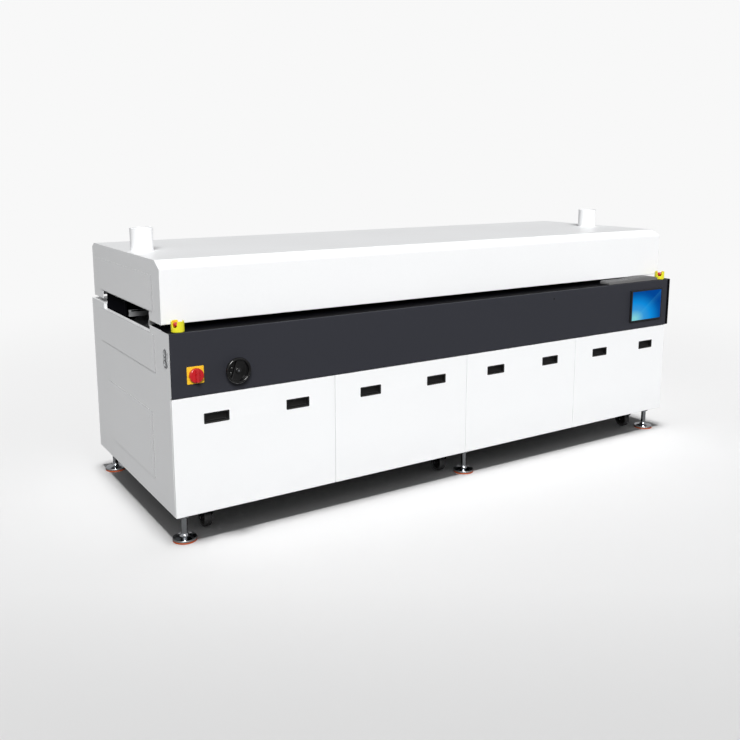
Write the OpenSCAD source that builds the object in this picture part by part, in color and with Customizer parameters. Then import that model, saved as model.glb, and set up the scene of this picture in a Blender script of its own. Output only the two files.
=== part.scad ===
// Inline hot-air reflow oven: sheet-metal case on levelling feet and castors,
// rear-hinged lifting hood, chain rails and mesh belt through a long tunnel.
// Inside every module x runs from the entry end, y from the front face, z from the floor.

/* [Case] */
// Length of the sheet-metal case, end panel to end panel
case_l = 3572; // [3400:1:4000]
// Depth of the case, front doors to rear panels
case_d = 1337; // [1300:1:1450]
// Clearance between the floor and the case
leg_h = 133; // [130:1:160]
// Height of the front doors
door_h = 601; // [560:1:680]
// Height of the dark fascia above the doors
fascia_h = 319; // [300:1:360]
// Depth of the fascia's top ledge, up to the hood
ledge_d = 104; // [98:1:115]
// Width of the dark end strip beside the fascia
strip_w = 28; // [18:1:40]
// Sheet thickness of panels and covers
sheet = 2; // [1.5:0.25:3]
// Height of the raised covers on the end panels
cover_t = 3; // [2:0.5:5]
// Distance from the case's front to the upper end covers
cover_front = 215; // [200:1:230]
// Distance from the upper end covers to the case's back
cover_back = 177; // [160:1:200]
// Height of the upper end covers
cover_h = 192; // [150:1:200]
// Distance from the case's front to the lower end covers
low_cover_front = 297; // [280:1:320]
// Distance from the lower end covers to the case's back
low_cover_back = 277; // [250:1:300]
// Height of the lower end covers
low_cover_h = 355; // [300:1:400]
// Distance from the case's lower edge to the lower end covers
low_cover_z = 115; // [80:1:140]
// Width of the vent cowls on the rear panels
cowl_w = 320; // [260:1:380]
// Height of the vent cowls on the rear panels
cowl_h = 240; // [200:1:300]
// Distance from the case's lower edge to the vent cowls
cowl_z = 150; // [120:1:200]

/* [Frame] */
// Width of the frame's uprights and cross members along the case
post_w = 30; // [24:1:34]
// Depth of the frame's uprights and long rails
post_d = 40; // [38:1:46]
// Height of the bottom rails
rail_h = 60; // [50:1:70]
// Height of the middle rails and cross members
beam_h = 40; // [30:1:50]
// Wall of the frame's steel tubes
tube_wall = 3; // [2:0.5:4]
// Clearance between the frame and the panels around it
frame_gap = 2; // [1:0.5:4]
// Length of a castor's seat plate along the case
seat_l = 100; // [90:1:110]
// Depth of a castor's seat plate
seat_d = 160; // [150:1:170]

/* [Doors] */
// Number of front doors
door_count = 4; // [3:1:4]
// Depth of a folded door tray
door_t = 16; // [12:1:20]
// Seam between two doors, and between door and fascia
seam = 3; // [2:0.5:5]
// Width of a recessed handle
handle_w = 134; // [110:1:160]
// Height of a recessed handle
handle_h = 54; // [44:1:64]
// Distance from a door's top edge to its handles
handle_drop = 89; // [70:1:120]
// Depth of a handle's cup behind the door face
cup_d = 26; // [20:1:34]
// Width of a handle's rim on the door face
handle_rim = 6; // [4:0.5:9]
// Height of a handle's rim above the door face
handle_lip = 1.5; // [1:0.25:3]

/* [Hood] */
// Gap between the ledge and the hood
hood_gap = 25; // [22:1:32]
// Height of the hood
hood_h = 308; // [280:1:360]
// Distance from the case's back to the hood's back
hood_back = 65; // [60:1:75]
// Length of the hood past the case's exit end
hood_over = 18; // [8:1:28]
// Depth of the chamfer along the hood's front edge
front_chamfer_d = 68; // [50:1:90]
// Height of the chamfer along the hood's front edge
front_chamfer_h = 39; // [30:1:55]
// Depth of the chamfer along the hood's rear edge
rear_chamfer_d = 43; // [30:1:55]
// Height of the chamfer along the hood's rear edge
rear_chamfer_h = 22; // [15:1:30]
// Width of the folded flanges along the hood's lower edges
hood_flange = 24; // [18:1:30]
// Thickness of the steel ribs inside the hood
rib_t = 4; // [3:0.5:6]
// Distance from the hood's front to the raised covers on its ends
hood_cover_front = 112; // [100:1:125]
// Distance from the raised covers to the hood's back
hood_cover_back = 134; // [120:1:150]
// Distance from the hood's top to the raised covers on its ends
hood_cover_top = 78; // [60:1:90]

/* [Hinges and lifts] */
// Radius of the hinge eyes
hinge_r = 12; // [11:0.5:14]
// Radius of the hinge pins and of the lifts' upper pins
hinge_pin_r = 6; // [5:0.5:7]
// Width of a hinge lug
lug_w = 30; // [24:1:36]
// Gap between a hinge lug and the ears beside it
lug_gap = 1; // [0.5:0.25:2]
// Thickness of a hinge bracket's ears
hinge_ear_t = 12; // [8:1:14]
// Distance from the hinge axis to both pivots of a lift
lift_arm = 180; // [175:1:190]
// Diameter of a lift's tube
lift_d = 34; // [30:1:38]
// Radius of a lift's rod
lift_rod_r = 10; // [8:0.5:12]
// Radius of the eye at the foot of a lift's tube
tube_eye_r = 14; // [13:0.5:16]
// Radius of a lift's lower pin
lift_pin_r = 8; // [6:0.5:9]
// Radius of the eye at the head of a lift's rod
rod_eye_r = 18; // [17:0.5:20]
// Thickness of a lift bracket's ears
ear_t = 6; // [4:0.5:8]
// Clearance between the belt motor and the lift beside it
lift_clear = 12; // [8:1:20]

/* [Exhaust] */
// Outer diameter of an exhaust spigot
stack_d = 123; // [100:1:140]
// Height of an exhaust spigot above the hood
stack_h = 122; // [90:1:150]
// Distance from the hood's entry end to the first spigot's axis
stack_x_entry = 96; // [80:1:120]
// Distance from the hood's exit end to the second spigot's axis
stack_x_exit = 156; // [100:1:170]
// Distance from the hood's front to the spigots' axis
stack_y = 536; // [400:1:700]

/* [Tunnel] */
// Distance from the case's front to the tunnel mouth
mouth_y = 279; // [260:1:300]
// Width of the tunnel mouth
mouth_w = 808; // [780:1:830]
// Depth of the mouth's notch in the case end panels
mouth_low = 32; // [26:1:38]
// Height of the mouth's notch in the hood end plates
mouth_high = 46; // [36:1:60]
// Inward fold around the mouth
mouth_fold = 18; // [12:1:20]
// Number of heating and cooling zones
zone_count = 8; // [6:1:10]
// Gap between two zones
zone_gap = 20; // [12:1:30]
// Height of a lower chamber
lower_h = 160; // [140:1:170]
// Height of an upper chamber
upper_h = 190; // [160:1:210]
// Gap between the hood's lower edge and the upper chambers
upper_lift = 19; // [14:1:30]
// Wall of a chamber
chamber_wall = 3; // [2:0.5:4]
// Diameter of an air jet in the nozzle plates
jet_d = 14; // [8:1:20]
// Diameter of a blower motor
blower_d = 120; // [90:1:150]
// Height of a blower motor
blower_h = 56; // [40:1:62]

/* [Conveyor] */
// Width of a conveyor rail
rail_w = 24; // [18:1:30]
// Height of a conveyor rail
rail_t = 34; // [26:1:40]
// Board width that the rails are set to
board_w = 300; // [120:1:380]
// Largest board width
board_max = 400; // [390:1:410]
// Diameter of the width adjusting screws
screw_d = 14; // [12:1:16]
// Radial running clearance of shafts in their bores
run_fit = 0.05; // [0.02:0.01:0.1]
// Width of the mesh belt
belt_w = 440; // [400:1:450]
// Thickness of the mesh belt
belt_t = 4; // [3:0.5:6]
// Diameter of the belt drums
drum_d = 184; // [176:1:186]
// Diameter of the drum shafts
drum_shaft_d = 30; // [24:1:40]
// Width of the belt motor's gearbox along the case
gear_w = 110; // [100:1:120]
// Depth of the belt motor's gearbox
gear_d = 70; // [60:1:80]
// Diameter of the belt motor
motor_d = 68; // [60:1:76]
// Length of the belt motor below its gearbox
motor_l = 170; // [140:1:200]

/* [Controls] */
// Width of the monitor
monitor_w = 308; // [280:1:340]
// Height of the monitor
monitor_h = 212; // [180:1:230]
// Distance from the monitor to the case's exit end
monitor_x = 67; // [55:1:100]
// Height of the monitor's rim above the fascia
monitor_lip = 15; // [10:1:20]
// Width of the monitor's frame round the screen
monitor_rim = 11; // [8:1:18]
// Width and height of the isolator's square plate
plate_w = 86; // [76:1:96]
// Distance from the case's entry end to the isolator's axis
isolator_x = 123; // [100:1:150]
// Diameter of the isolator's knob
knob_d = 72; // [60:1:78]
// Distance from the case's entry end to the handwheel's axis
wheel_x = 335; // [300:1:360]
// Diameter of the handwheel
wheel_d = 132; // [110:1:150]
// Height of the isolator and the handwheel above the fascia's lower edge
control_z = 106; // [95:1:120]
// Diameter of an emergency stop's guard
guard_d = 64; // [60:1:72]
// Height of an emergency stop's guard
guard_h = 53; // [48:1:58]
// Distance from the ledge's front edge to the emergency stops
stop_y = 38; // [37:1:44]
// Diameter of an emergency stop's button
button_d = 40; // [34:1:44]
// Travel of an emergency stop's button
button_travel = 5; // [3:0.5:6]
// Length of the keyboard
keyboard_l = 480; // [440:1:500]
// Depth of the keyboard
keyboard_d = 80; // [70:1:84]
// Distance from the ledge's front edge to the keyboard
keyboard_y = 19; // [14:1:20]

/* [Feet and castors] */
// Diameter of a foot's pad
pad_d = 122; // [100:1:126]
// Diameter of a foot's threaded stem
stem_d = 30; // [24:1:30]
// Distance from the case's back to the rear feet
rear_foot = 119; // [100:1:130]
// Diameter of a castor's wheel
castor_d = 100; // [90:1:104]
// Width of a castor's wheel
castor_w = 42; // [32:1:46]
// Trail of a castor's wheel behind its swivel
castor_trail = 30; // [24:1:36]
// Angle from the case's length to the castors' wheels at rest
castor_turn = 90; // [0:5:180]
// Height of the castors above the floor while the feet carry the oven
castor_lift = 6; // [3:1:10]

/* [Hidden] */
$fn = 64;
eps = 0.5;

// Heights of the main edges
door_top = leg_h + door_h;
ledge_z = door_top + fascia_h;
hood_z = ledge_z + hood_gap;
hood_top = hood_z + hood_h;

// What stands past the case on each side, so that the origin is at the middle of the whole
port_out = 6;
wheel_reach = 38;
vent_out = 12;
overall_l = case_l + strip_w;
mid_x = (overall_l - port_out) / 2;
mid_y = (case_d + vent_out - wheel_reach) / 2;

// Frame
door_pitch = overall_l / door_count;
frame_y = door_t + frame_gap;
frame_back = case_d - sheet - frame_gap;
end_gap = sheet + frame_gap;
beam_z = door_top;
front_post_top = ledge_z - 66;
sill_h = rail_h - 2;
beam_d = post_d - 2;
line_x = [for (i = [0:door_count])
    i == 0 ? end_gap : i == door_count ? case_l - end_gap - post_w : i * door_pitch - post_w];

// Tunnel
mouth_end = mouth_y + mouth_w;
mouth_z = ledge_z - mouth_low;
wall_in = mouth_y + sheet;
wall_out = mouth_end - sheet;
belt_z = mouth_z - 2;
chamber_top = belt_z - belt_t - 10;
chamber_z = chamber_top - lower_h;
drum_x = drum_d / 2 + belt_t + 34;
drum_z = belt_z - belt_t - drum_d / 2;
zone_x = drum_x + drum_d / 2 + belt_t + 8;
zone_pitch = (case_l - 2 * zone_x) / zone_count;
zone_l = zone_pitch - zone_gap;
upper_z = hood_z + upper_lift;
upper_top = upper_z + upper_h;

// Conveyor
screw_z = belt_z + screw_d / 2 + 7;
rail_z = screw_z + screw_d / 2 + 1;
rail_front = wall_in + 15;
rail_inner = rail_front + rail_w;
movable_y = rail_inner + board_w;
rail_x = end_gap + 4;
screw_x = [wheel_x, case_l - wheel_x];
belt_y = rail_inner + 10;
nut_w = 40;
case_y = frame_y + post_d;
chain_case_d = 30;

// Hood and its lift: hinge, rod pivot and tube pivot make a right angle at the hinge, so
// the tube swings by half the hood's angle
hood_l = case_l + hood_over;
hood_y = ledge_d;
hood_end_y = case_d - hood_back;
stack_x = [stack_x_entry, hood_l - stack_x_exit];
stack_wall = 2;
hinge_y = hood_end_y + 2 * hinge_r + 8;
hinge_foot = 3;
hinge_z = ledge_z + hinge_foot + 1 + hinge_r;
lift_tilt = 5;
lift_start = 90;
rod_pivot = [hinge_y - lift_arm * cos(lift_tilt), hinge_z + lift_arm * sin(lift_tilt)];
tube_pivot = [hinge_y - lift_arm * cos(lift_start - lift_tilt),
    hinge_z - lift_arm * sin(lift_start - lift_tilt)];
lift_angle = atan2(rod_pivot[1] - tube_pivot[1], rod_pivot[0] - tube_pivot[0]);
lift_len = norm(rod_pivot - tube_pivot);
rod_start = tube_eye_r + 12;
lift_slot = hinge_y - rod_pivot[0] + rod_eye_r - 10;
lift_gap = lift_d / 2 + ear_t / 2 + 2;
lift_from_end = drum_x + gear_w / 2 + lift_clear + lift_gap + ear_t / 2;
lift_x = [lift_from_end, case_l - lift_from_end];
hinge_x = [for (i = [0.5:1:door_count]) i * door_pitch];

// Feet and castors
foot_y = [frame_y + post_d / 2, case_d - rear_foot];
foot_x = [end_gap + post_w + 17, 2 * door_pitch + 19, case_l - 123];
castor_x = [end_gap + post_w + 161, 2 * door_pitch - 105, case_l - 237];
castor_y = [foot_y[0] + 60, foot_y[1] - 60];
castor_plate = 6;
stud_r = 8;

// Controls
control_height = door_top + control_z;
stop_x = [58, case_l - 42];
shaft_r = 7;
knob_shaft_r = 5;
stop_stem_r = 11;

// Moves a sub-part from the case's own corner to the origin at the middle of the footprint
module place() {
    translate([-mid_x, -mid_y, 0]) children();
}

// Lies along x: the outline is drawn in y and z
module along_x(from, to) {
    translate([from, 0, 0]) rotate([90, 0, 90]) linear_extrude(to - from) children();
}

// Lies along y: the outline is drawn in x and z
module along_y(from, to) {
    translate([0, to, 0]) rotate([90, 0, 0]) linear_extrude(to - from) children();
}

module rod_x(from, to, r, y, z) {
    along_x(from, to) translate([y, z]) circle(r);
}

module rod_y(from, to, r, x, z) {
    along_y(from, to) translate([x, z]) circle(r);
}

module rounded(w, h, r) {
    translate([r, 0]) square([w - 2 * r, h]);
    translate([0, r]) square([w, h - 2 * r]);
    for (x = [r, w - r], y = [r, h - r]) translate([x, y]) circle(r);
}

// Square steel tube, open at both ends of the axis it lies along
module tube(corner, size, axis) {
    bore = [for (i = [0:2]) i == axis ? size[i] + 2 * eps : size[i] - 2 * tube_wall];
    shift = [for (i = [0:2]) i == axis ? -eps : tube_wall];
    translate(corner) difference() {
        cube(size);
        translate(shift) cube(bore);
    }
}

// Uprights and the long bottom rails between the cross members, with the lifts' lower ears
module base_frame() {
    color("gainsboro") place() {
        for (x = line_x) {
            tube([x, frame_y, leg_h + rail_h],
                [post_w, post_d, front_post_top - leg_h - rail_h], 2);
            tube([x, frame_back - post_d, leg_h + rail_h],
                [post_w, post_d, ledge_z - sheet - leg_h - rail_h], 2);
        }
        for (i = [0:door_count - 1], y = foot_y) difference() {
            tube([line_x[i] + post_w, y - post_d / 2, leg_h], [bay_l(i), post_d, sill_h], 0);
            for (x = foot_x) translate([x, y, leg_h - eps])
                cylinder(r = stem_d / 2 + run_fit, h = tube_wall + 2 * eps);
        }
        for (x = lift_x, side = [-1, 1]) lift_ear(x + side * lift_gap);
    }
}

function bay_l(i) = line_x[i + 1] - line_x[i] - post_w;

// Ear under the rear top rail beside a hood lift's foot
module lift_ear(x) {
    low = tube_pivot[1] - tube_eye_r;
    along_x(x - ear_t / 2, x + ear_t / 2) polygon([
        [tube_pivot[0] - tube_eye_r, low], [frame_back, low],
        [frame_back, ledge_z - sheet - beam_h],
        [frame_back - beam_d, ledge_z - sheet - beam_h],
        [tube_pivot[0] - tube_eye_r, tube_pivot[1] + tube_eye_r]]);
}

// Cross members, upper long rails, castor seats and the lifts' lower pins
module frame_beams() {
    color("gainsboro") place() {
        for (x = line_x) {
            tube([x, frame_y, leg_h], [post_w, frame_back - frame_y, rail_h], 1);
            tube([x, frame_y + post_d, beam_z],
                [post_w, frame_back - frame_y - 2 * post_d, beam_h], 1);
        }
        for (i = [0:door_count - 1]) {
            from = line_x[i] + post_w;
            tube([from, frame_y, beam_z], [bay_l(i), beam_d, beam_h], 0);
            tube([from, frame_back - beam_d, ledge_z - sheet - beam_h],
                [bay_l(i), beam_d, beam_h], 0);
        }
        for (x = castor_x, y = castor_y) castor_seat(x, y);
        for (x = lift_x)
            rod_x(x - lift_gap + ear_t / 2, x + lift_gap - ear_t / 2, lift_pin_r,
                tube_pivot[0], tube_pivot[1]);
    }
}

// Plate under the bottom rails that a castor is bolted to, with its swivel bore
module castor_seat(x, y) {
    difference() {
        translate([x - seat_l / 2, y - seat_d / 2, leg_h - castor_plate])
            cube([seat_l, seat_d, castor_plate]);
        translate([x, y, leg_h - castor_plate - eps])
            cylinder(r = stud_r + run_fit, h = castor_plate + 2 * eps);
    }
}

// End panel with the tunnel notch, folded inwards round the mouth; in = 1 at the entry end
module end_panel(face, in) {
    far = face + in * sheet;
    fold = face + in * mouth_fold;
    along_x(min(face, far), max(face, far)) difference() {
        translate([sheet, leg_h]) square([case_d - sheet, ledge_z - leg_h]);
        translate([0, leg_h - eps]) square([door_t + seam, door_h + eps]);
        translate([mouth_y, mouth_z]) square([mouth_w, mouth_low + eps]);
    }
    along_x(min(face, fold), max(face, fold)) difference() {
        translate([mouth_y - sheet, mouth_z - sheet])
            square([mouth_w + 2 * sheet, mouth_low]);
        translate([mouth_y, mouth_z]) square([mouth_w, mouth_low]);
    }
}

module end_panels() {
    color("white") place() {
        end_panel(0, 1);
        end_panel(case_l, -1);
    }
}

// Cover plate with a pressed line near its front edge
module cover_plate(from, to, y0, y1, z0, z1) {
    line_y = 42;
    line_w = 3;
    line_end = 30;
    difference() {
        along_x(from, to) translate([y0, z0]) square([y1 - y0, z1 - z0]);
        for (x = [from, to]) translate([x, y0 + line_y, (z0 + z1) / 2])
            cube([1, line_w, z1 - z0 - 2 * line_end], center = true);
    }
}

module end_covers() {
    top = mouth_z - 6;
    low = leg_h + low_cover_z;
    color("white") place() for (from = [-cover_t, case_l]) {
        cover_plate(from, from + cover_t, cover_front, case_d - cover_back, top - cover_h, top);
        cover_plate(from, from + cover_t, low_cover_front, case_d - low_cover_back, low,
            low + low_cover_h);
    }
}

// Removable rear panels, each with a louvred vent cowl
module rear_panels() {
    slats = 8;
    slat_h = 12;
    edge = 20;
    pitch = (cowl_h - 2 * edge + slat_h) / slats;
    color("white") place() for (i = [0:door_count - 1]) {
        from = i == 0 ? sheet : i * door_pitch + seam / 2;
        to = i == door_count - 1 ? case_l - sheet : (i + 1) * door_pitch - seam / 2;
        translate([from, case_d - sheet, leg_h])
            cube([to - from, sheet, ledge_z - sheet - leg_h]);
        translate([(from + to) / 2 - cowl_w / 2, case_d, leg_h + cowl_z]) difference() {
            cube([cowl_w, vent_out, cowl_h]);
            for (k = [0:slats - 1]) translate([edge, sheet, edge + k * pitch])
                cube([cowl_w - 2 * edge, vent_out, slat_h]);
        }
    }
}

// Folded dark panel: face, top ledge and lower lip, cut out for the controls; the black
// channel beside it closes its exit end
module fascia_panel() {
    color([0.08, 0.08, 0.09]) place() along_x(case_l, case_l + strip_w) difference() {
        translate([sheet, door_top]) square([ledge_d - sheet, fascia_h]);
        translate([2 * sheet, door_top + sheet]) square([ledge_d, fascia_h - 2 * sheet]);
    }
    color([0.2, 0.21, 0.23]) place() difference() {
        union() {
            along_x(0, case_l) translate([0, door_top]) square([sheet, fascia_h]);
            along_x(sheet, case_l - sheet) {
                translate([0, ledge_z - sheet]) square([ledge_d, sheet]);
                translate([0, door_top]) square([frame_y, sheet]);
            }
        }
        monitor_hole();
        rod_y(-eps, sheet + eps, knob_shaft_r + 2, isolator_x, control_height);
        rod_y(-eps, sheet + eps, shaft_r + 2, wheel_x, control_height);
        for (x = stop_x) translate([x, stop_y, ledge_z - sheet - eps])
            cylinder(r = 12, h = sheet + 2 * eps);
    }
}

module monitor_hole() {
    translate([case_l - monitor_x - monitor_w + 4, -eps, monitor_bottom() + 4])
        cube([monitor_w - 8, sheet + 2 * eps, monitor_h - 8]);
}

function monitor_bottom() = door_top + (fascia_h - monitor_h) / 2;

module monitor() {
    color([0.1, 0.1, 0.1]) place()
        translate([case_l - monitor_x - monitor_w, 0, monitor_bottom()]) difference() {
            union() {
                translate([0, -monitor_lip, 0]) cube([monitor_w, monitor_lip, monitor_h]);
                translate([5, 0, 5]) cube([monitor_w - 10, 34, monitor_h - 10]);
            }
            translate([monitor_rim, -monitor_lip - eps, monitor_rim - 3])
                cube([monitor_w - 2 * monitor_rim, 2 + eps, monitor_h - 2 * monitor_rim + 6]);
        }
}

module monitor_screen() {
    fit = 0.3;
    color([0.1, 0.4, 0.8]) place()
        translate([case_l - monitor_x - monitor_w + monitor_rim + fit, -monitor_lip,
            monitor_bottom() + monitor_rim - 3 + fit])
            cube([monitor_w - 2 * monitor_rim - 2 * fit, 2,
                monitor_h - 2 * monitor_rim + 6 - 2 * fit]);
}

// Square plate in front of the fascia, switch block behind it
module isolator_base() {
    plate_t = 3;
    block = 62;
    color("gold") place() difference() {
        union() {
            along_y(-plate_t, 0) translate([isolator_x - plate_w / 2, control_height - plate_w / 2])
                rounded(plate_w, plate_w, 4);
            translate([isolator_x - block / 2, sheet, control_height - block / 2])
                cube([block, 56, block]);
        }
        rod_y(-plate_t - eps, sheet, knob_shaft_r + 2, isolator_x, control_height);
        rod_y(sheet - eps, 40, knob_shaft_r + run_fit, isolator_x, control_height);
    }
}

module isolator_knob() {
    back = 4;
    disc = 19;
    grip = wheel_reach - back - disc;
    grip_w = 18;
    shaft = 38;
    color("firebrick") place() {
        rod_y(-back - disc, -back, knob_d / 2, isolator_x, control_height);
        intersection() {
            rod_y(-back - disc - grip, -back - disc, knob_d / 2 - 1, isolator_x, control_height);
            translate([isolator_x - grip_w / 2, -back - disc - grip, control_height - knob_d / 2])
                cube([grip_w, grip, knob_d]);
        }
        rod_y(-back, shaft, knob_shaft_r, isolator_x, control_height);
    }
}

// Channel behind the fascia: a chain leg up from the handwheel and a run to both screws
module width_chain_case() {
    color("silver") place() difference() {
        union() {
            translate([screw_x[0] - 35, case_y, ledge_z - sheet - 44])
                cube([screw_x[1] - screw_x[0] + 70, chain_case_d, 44]);
            translate([wheel_x - 35, case_y, control_height - 35])
                cube([70, chain_case_d, ledge_z - sheet - control_height + 35]);
        }
        rod_y(case_y - eps, case_y + chain_case_d - 4, shaft_r + run_fit,
            wheel_x, control_height);
        for (x = screw_x)
            rod_y(case_y + 6, case_y + chain_case_d + eps, screw_d / 2 + run_fit, x, screw_z);
    }
}

// Dished handwheel: rim, thin web, wide bar, counterbored hub and the shaft that runs
// back into the chain case
module width_handwheel() {
    rim_w = 15;
    rim_d = 20;
    rim_back = wheel_reach - rim_d;
    web_t = 4;
    bar_w = 42;
    bar_d = 9;
    bar_lean = 18;
    hub_r = 17;
    hub_out = 27;
    cap_r = 7;
    cap_deep = 7;
    color([0.06, 0.06, 0.06]) place() translate([wheel_x, 0, control_height]) {
        translate([0, -rim_back, 0]) rotate([90, 0, 0])
            rotate_extrude() translate([wheel_d / 2 - rim_w, 0]) rounded(rim_w, rim_d, 6);
        difference() {
            union() {
                rod_y(-rim_back - 2, -rim_back - 2 + web_t, wheel_d / 2 - rim_w / 2, 0, 0);
                rotate([0, bar_lean, 0])
                    translate([-bar_w / 2, -rim_back - 2 - bar_d, rim_w / 2 - wheel_d / 2])
                        cube([bar_w, bar_d, wheel_d - rim_w]);
                rod_y(-hub_out, -8, hub_r, 0, 0);
            }
            rod_y(-hub_out - eps, cap_deep - hub_out, cap_r, 0, 0);
        }
        rod_y(-8, case_y + chain_case_d - 8, shaft_r, 0, 0);
    }
}

// Notched cup round each emergency stop, and its contact block under the ledge
module estop_guards() {
    wall = 5;
    floor_t = 5;
    notch_turn = 40;
    notch_w = 28;
    notch_z = 0.42 * guard_h;
    block_r = 15;
    block_h = 42;
    color("yellow") place() for (x = stop_x) translate([x, stop_y, ledge_z]) {
        difference() {
            cylinder(r = guard_d / 2, h = guard_h);
            translate([0, 0, floor_t]) cylinder(r = guard_d / 2 - wall, h = guard_h);
            translate([0, 0, -eps]) cylinder(r = stop_stem_r + run_fit, h = floor_t + 2 * eps);
            rotate([90, 0, notch_turn + 90])
                translate([-notch_w / 2, notch_z, -guard_d]) linear_extrude(2 * guard_d) {
                    translate([0, notch_w / 2]) square([notch_w, guard_h]);
                    translate([notch_w / 2, notch_w / 2]) circle(notch_w / 2);
                }
        }
        translate([0, 0, -sheet - block_h]) difference() {
            cylinder(r = block_r, h = block_h);
            translate([0, 0, 4]) cylinder(r = stop_stem_r + run_fit, h = block_h);
        }
    }
}

module estop_button(x) {
    head = 16;
    deep = 20;
    round_r = 5;
    rise = guard_h - 8 - head;
    color("crimson") place() translate([x, stop_y, ledge_z]) {
        translate([0, 0, -sheet - deep]) cylinder(r = stop_stem_r, h = sheet + deep + rise);
        translate([0, 0, rise]) rotate_extrude() {
            square([button_d / 2, head - round_r]);
            square([button_d / 2 - round_r, head]);
            translate([button_d / 2 - round_r, head - round_r]) intersection() {
                circle(round_r);
                square(round_r);
            }
        }
    }
}

// Low keyboard on the ledge, its right part arched
module keyboard() {
    flat_l = keyboard_l * 0.42;
    low = 20;
    arch = 9;
    arch_l = keyboard_l - flat_l;
    arch_r = (arch_l * arch_l / 4 + arch * arch) / (2 * arch);
    color("gray") place() translate([case_l - 84 - keyboard_l, 0, ledge_z])
        along_y(keyboard_y, keyboard_y + keyboard_d) {
            square([keyboard_l, low]);
            intersection() {
                translate([flat_l, low]) square([arch_l, arch + eps]);
                translate([flat_l + arch_l / 2, low + arch - arch_r]) circle(arch_r, $fn = 180);
            }
        }
}

// Obround plate with two round sockets near the front edge of the entry end panel
module signal_ports() {
    w = 56;
    h = 96;
    y = 58;
    z = ledge_z - 128;
    plate = 3;
    color("dimgray") place() {
        along_x(-plate, 0) {
            translate([y - w / 2, z - h / 2 + w / 2]) square([w, h - w]);
            for (s = [-1, 1]) translate([y, z + s * (h - w) / 2]) circle(w / 2);
        }
        for (s = [-1, 1]) along_x(-port_out, -plate) translate([y, z + s * 25]) difference() {
            circle(19);
            circle(14);
        }
    }
}

// Door tray with two recessed handles, which are separate mouldings in its cut-outs
module front_door(i) {
    from = i == 1 ? 0 : (i - 1) * door_pitch + seam / 2;
    to = i == door_count ? case_l : i * door_pitch - seam / 2;
    l = to - from;
    h = door_h - seam;
    cup_w = handle_w - 2 * handle_rim;
    cup_h = handle_h - 2 * handle_rim;
    hx = [for (k = [0.25, 0.75]) (i - 1 + k) * door_pitch - handle_w / 2];
    hz = leg_h + h - handle_drop - handle_h;
    color("white") place() difference() {
        translate([from, 0, leg_h]) cube([l, door_t, h]);
        translate([from + sheet, sheet, leg_h + sheet])
            cube([l - 2 * sheet, door_t, h - 2 * sheet]);
        for (x = hx) translate([x + handle_rim, -eps, hz + handle_rim])
            cube([cup_w, sheet + 2 * eps, cup_h]);
    }
    color([0.12, 0.12, 0.13]) place() for (x = hx) difference() {
        union() {
            along_y(-handle_lip, 0) translate([x, hz]) rounded(handle_w, handle_h, 4);
            translate([x + handle_rim, 0, hz + handle_rim]) cube([cup_w, cup_d, cup_h]);
        }
        translate([x + handle_rim + sheet, -handle_lip - eps, hz + handle_rim + sheet])
            cube([cup_w - 2 * sheet, cup_d + handle_lip - sheet + eps, cup_h - 2 * sheet]);
    }
}

// Side walls of the tunnel, standing on the frame's cross members
module tunnel_trough() {
    color("silver") place() {
        for (y = [mouth_y, wall_out]) difference() {
            translate([mouth_fold, y, beam_z + beam_h])
                cube([case_l - 2 * mouth_fold, sheet, ledge_z - sheet - beam_z - beam_h]);
            for (x = [drum_x, case_l - drum_x])
                rod_y(y - eps, y + sheet + eps, drum_shaft_d / 2 + run_fit, x, drum_z);
            for (x = screw_x)
                rod_y(y - eps, y + sheet + eps, screw_d / 2 + run_fit, x, screw_z);
        }
    }
}

// Sheet decks between the ledge, the tunnel and the rear panels
module deck_panels() {
    l = case_l - 2 * sheet;
    color([0.08, 0.08, 0.1]) place() {
        translate([sheet, ledge_d, ledge_z - sheet]) cube([l, wall_in - ledge_d, sheet]);
        difference() {
            translate([sheet, wall_out, ledge_z - sheet]) cube([l, case_d - wall_out, sheet]);
            for (x = lift_x)
                translate([x - lift_d, rod_pivot[0] - rod_eye_r - 10, ledge_z - sheet - eps])
                    cube([2 * lift_d, lift_slot, sheet + 2 * eps]);
        }
    }
}

// Folded shutter that closes the part of each mouth behind the widest rail setting
module mouth_shutters() {
    folds = 14;
    from = rail_inner + board_max + rail_w + 8;
    step = (wall_out - from) / folds;
    depth = 10;
    t = 1.5;
    low = mouth_z + 2;
    high = hood_z + mouth_high - 6;
    edge = [for (k = [0:folds]) [k % 2 == 0 ? 0 : depth, from + k * step]];
    back = [for (k = [folds:-1:0]) [(k % 2 == 0 ? 0 : depth) + t, from + k * step]];
    color([0.15, 0.15, 0.15]) place() for (x = [mouth_fold + 2, case_l - mouth_fold - 14])
        translate([x, 0, low]) linear_extrude(high - low) {
            polygon(concat(edge, back));
            translate([0, from - 5]) square([depth + t, 5 + t]);
        }
}

// One air chamber: a closed box with jets through its nozzle plate
module chamber(x, z, h, nozzle_z) {
    rows = 4;
    columns = 9;
    w = wall_out - wall_in;
    translate([x, wall_in, z]) difference() {
        cube([zone_l, w, h]);
        translate([chamber_wall, chamber_wall, chamber_wall])
            cube([zone_l - 2 * chamber_wall, w - 2 * chamber_wall, h - 2 * chamber_wall]);
        for (i = [1:rows], k = [1:columns])
            translate([zone_l * i / (rows + 1), w * k / (columns + 1), nozzle_z - z - eps])
                cylinder(r = jet_d / 2, h = chamber_wall + 2 * eps, $fn = 24);
    }
}

module lower_chambers() {
    color("lightgray") place() for (i = [0:zone_count - 1]) {
        x = zone_x + i * zone_pitch + zone_gap / 2;
        chamber(x, chamber_z, lower_h, chamber_top - chamber_wall);
        translate([x + zone_l / 2, wall_out - 160, chamber_z - blower_h])
            cylinder(r = blower_d / 2, h = blower_h);
    }
}

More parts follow.
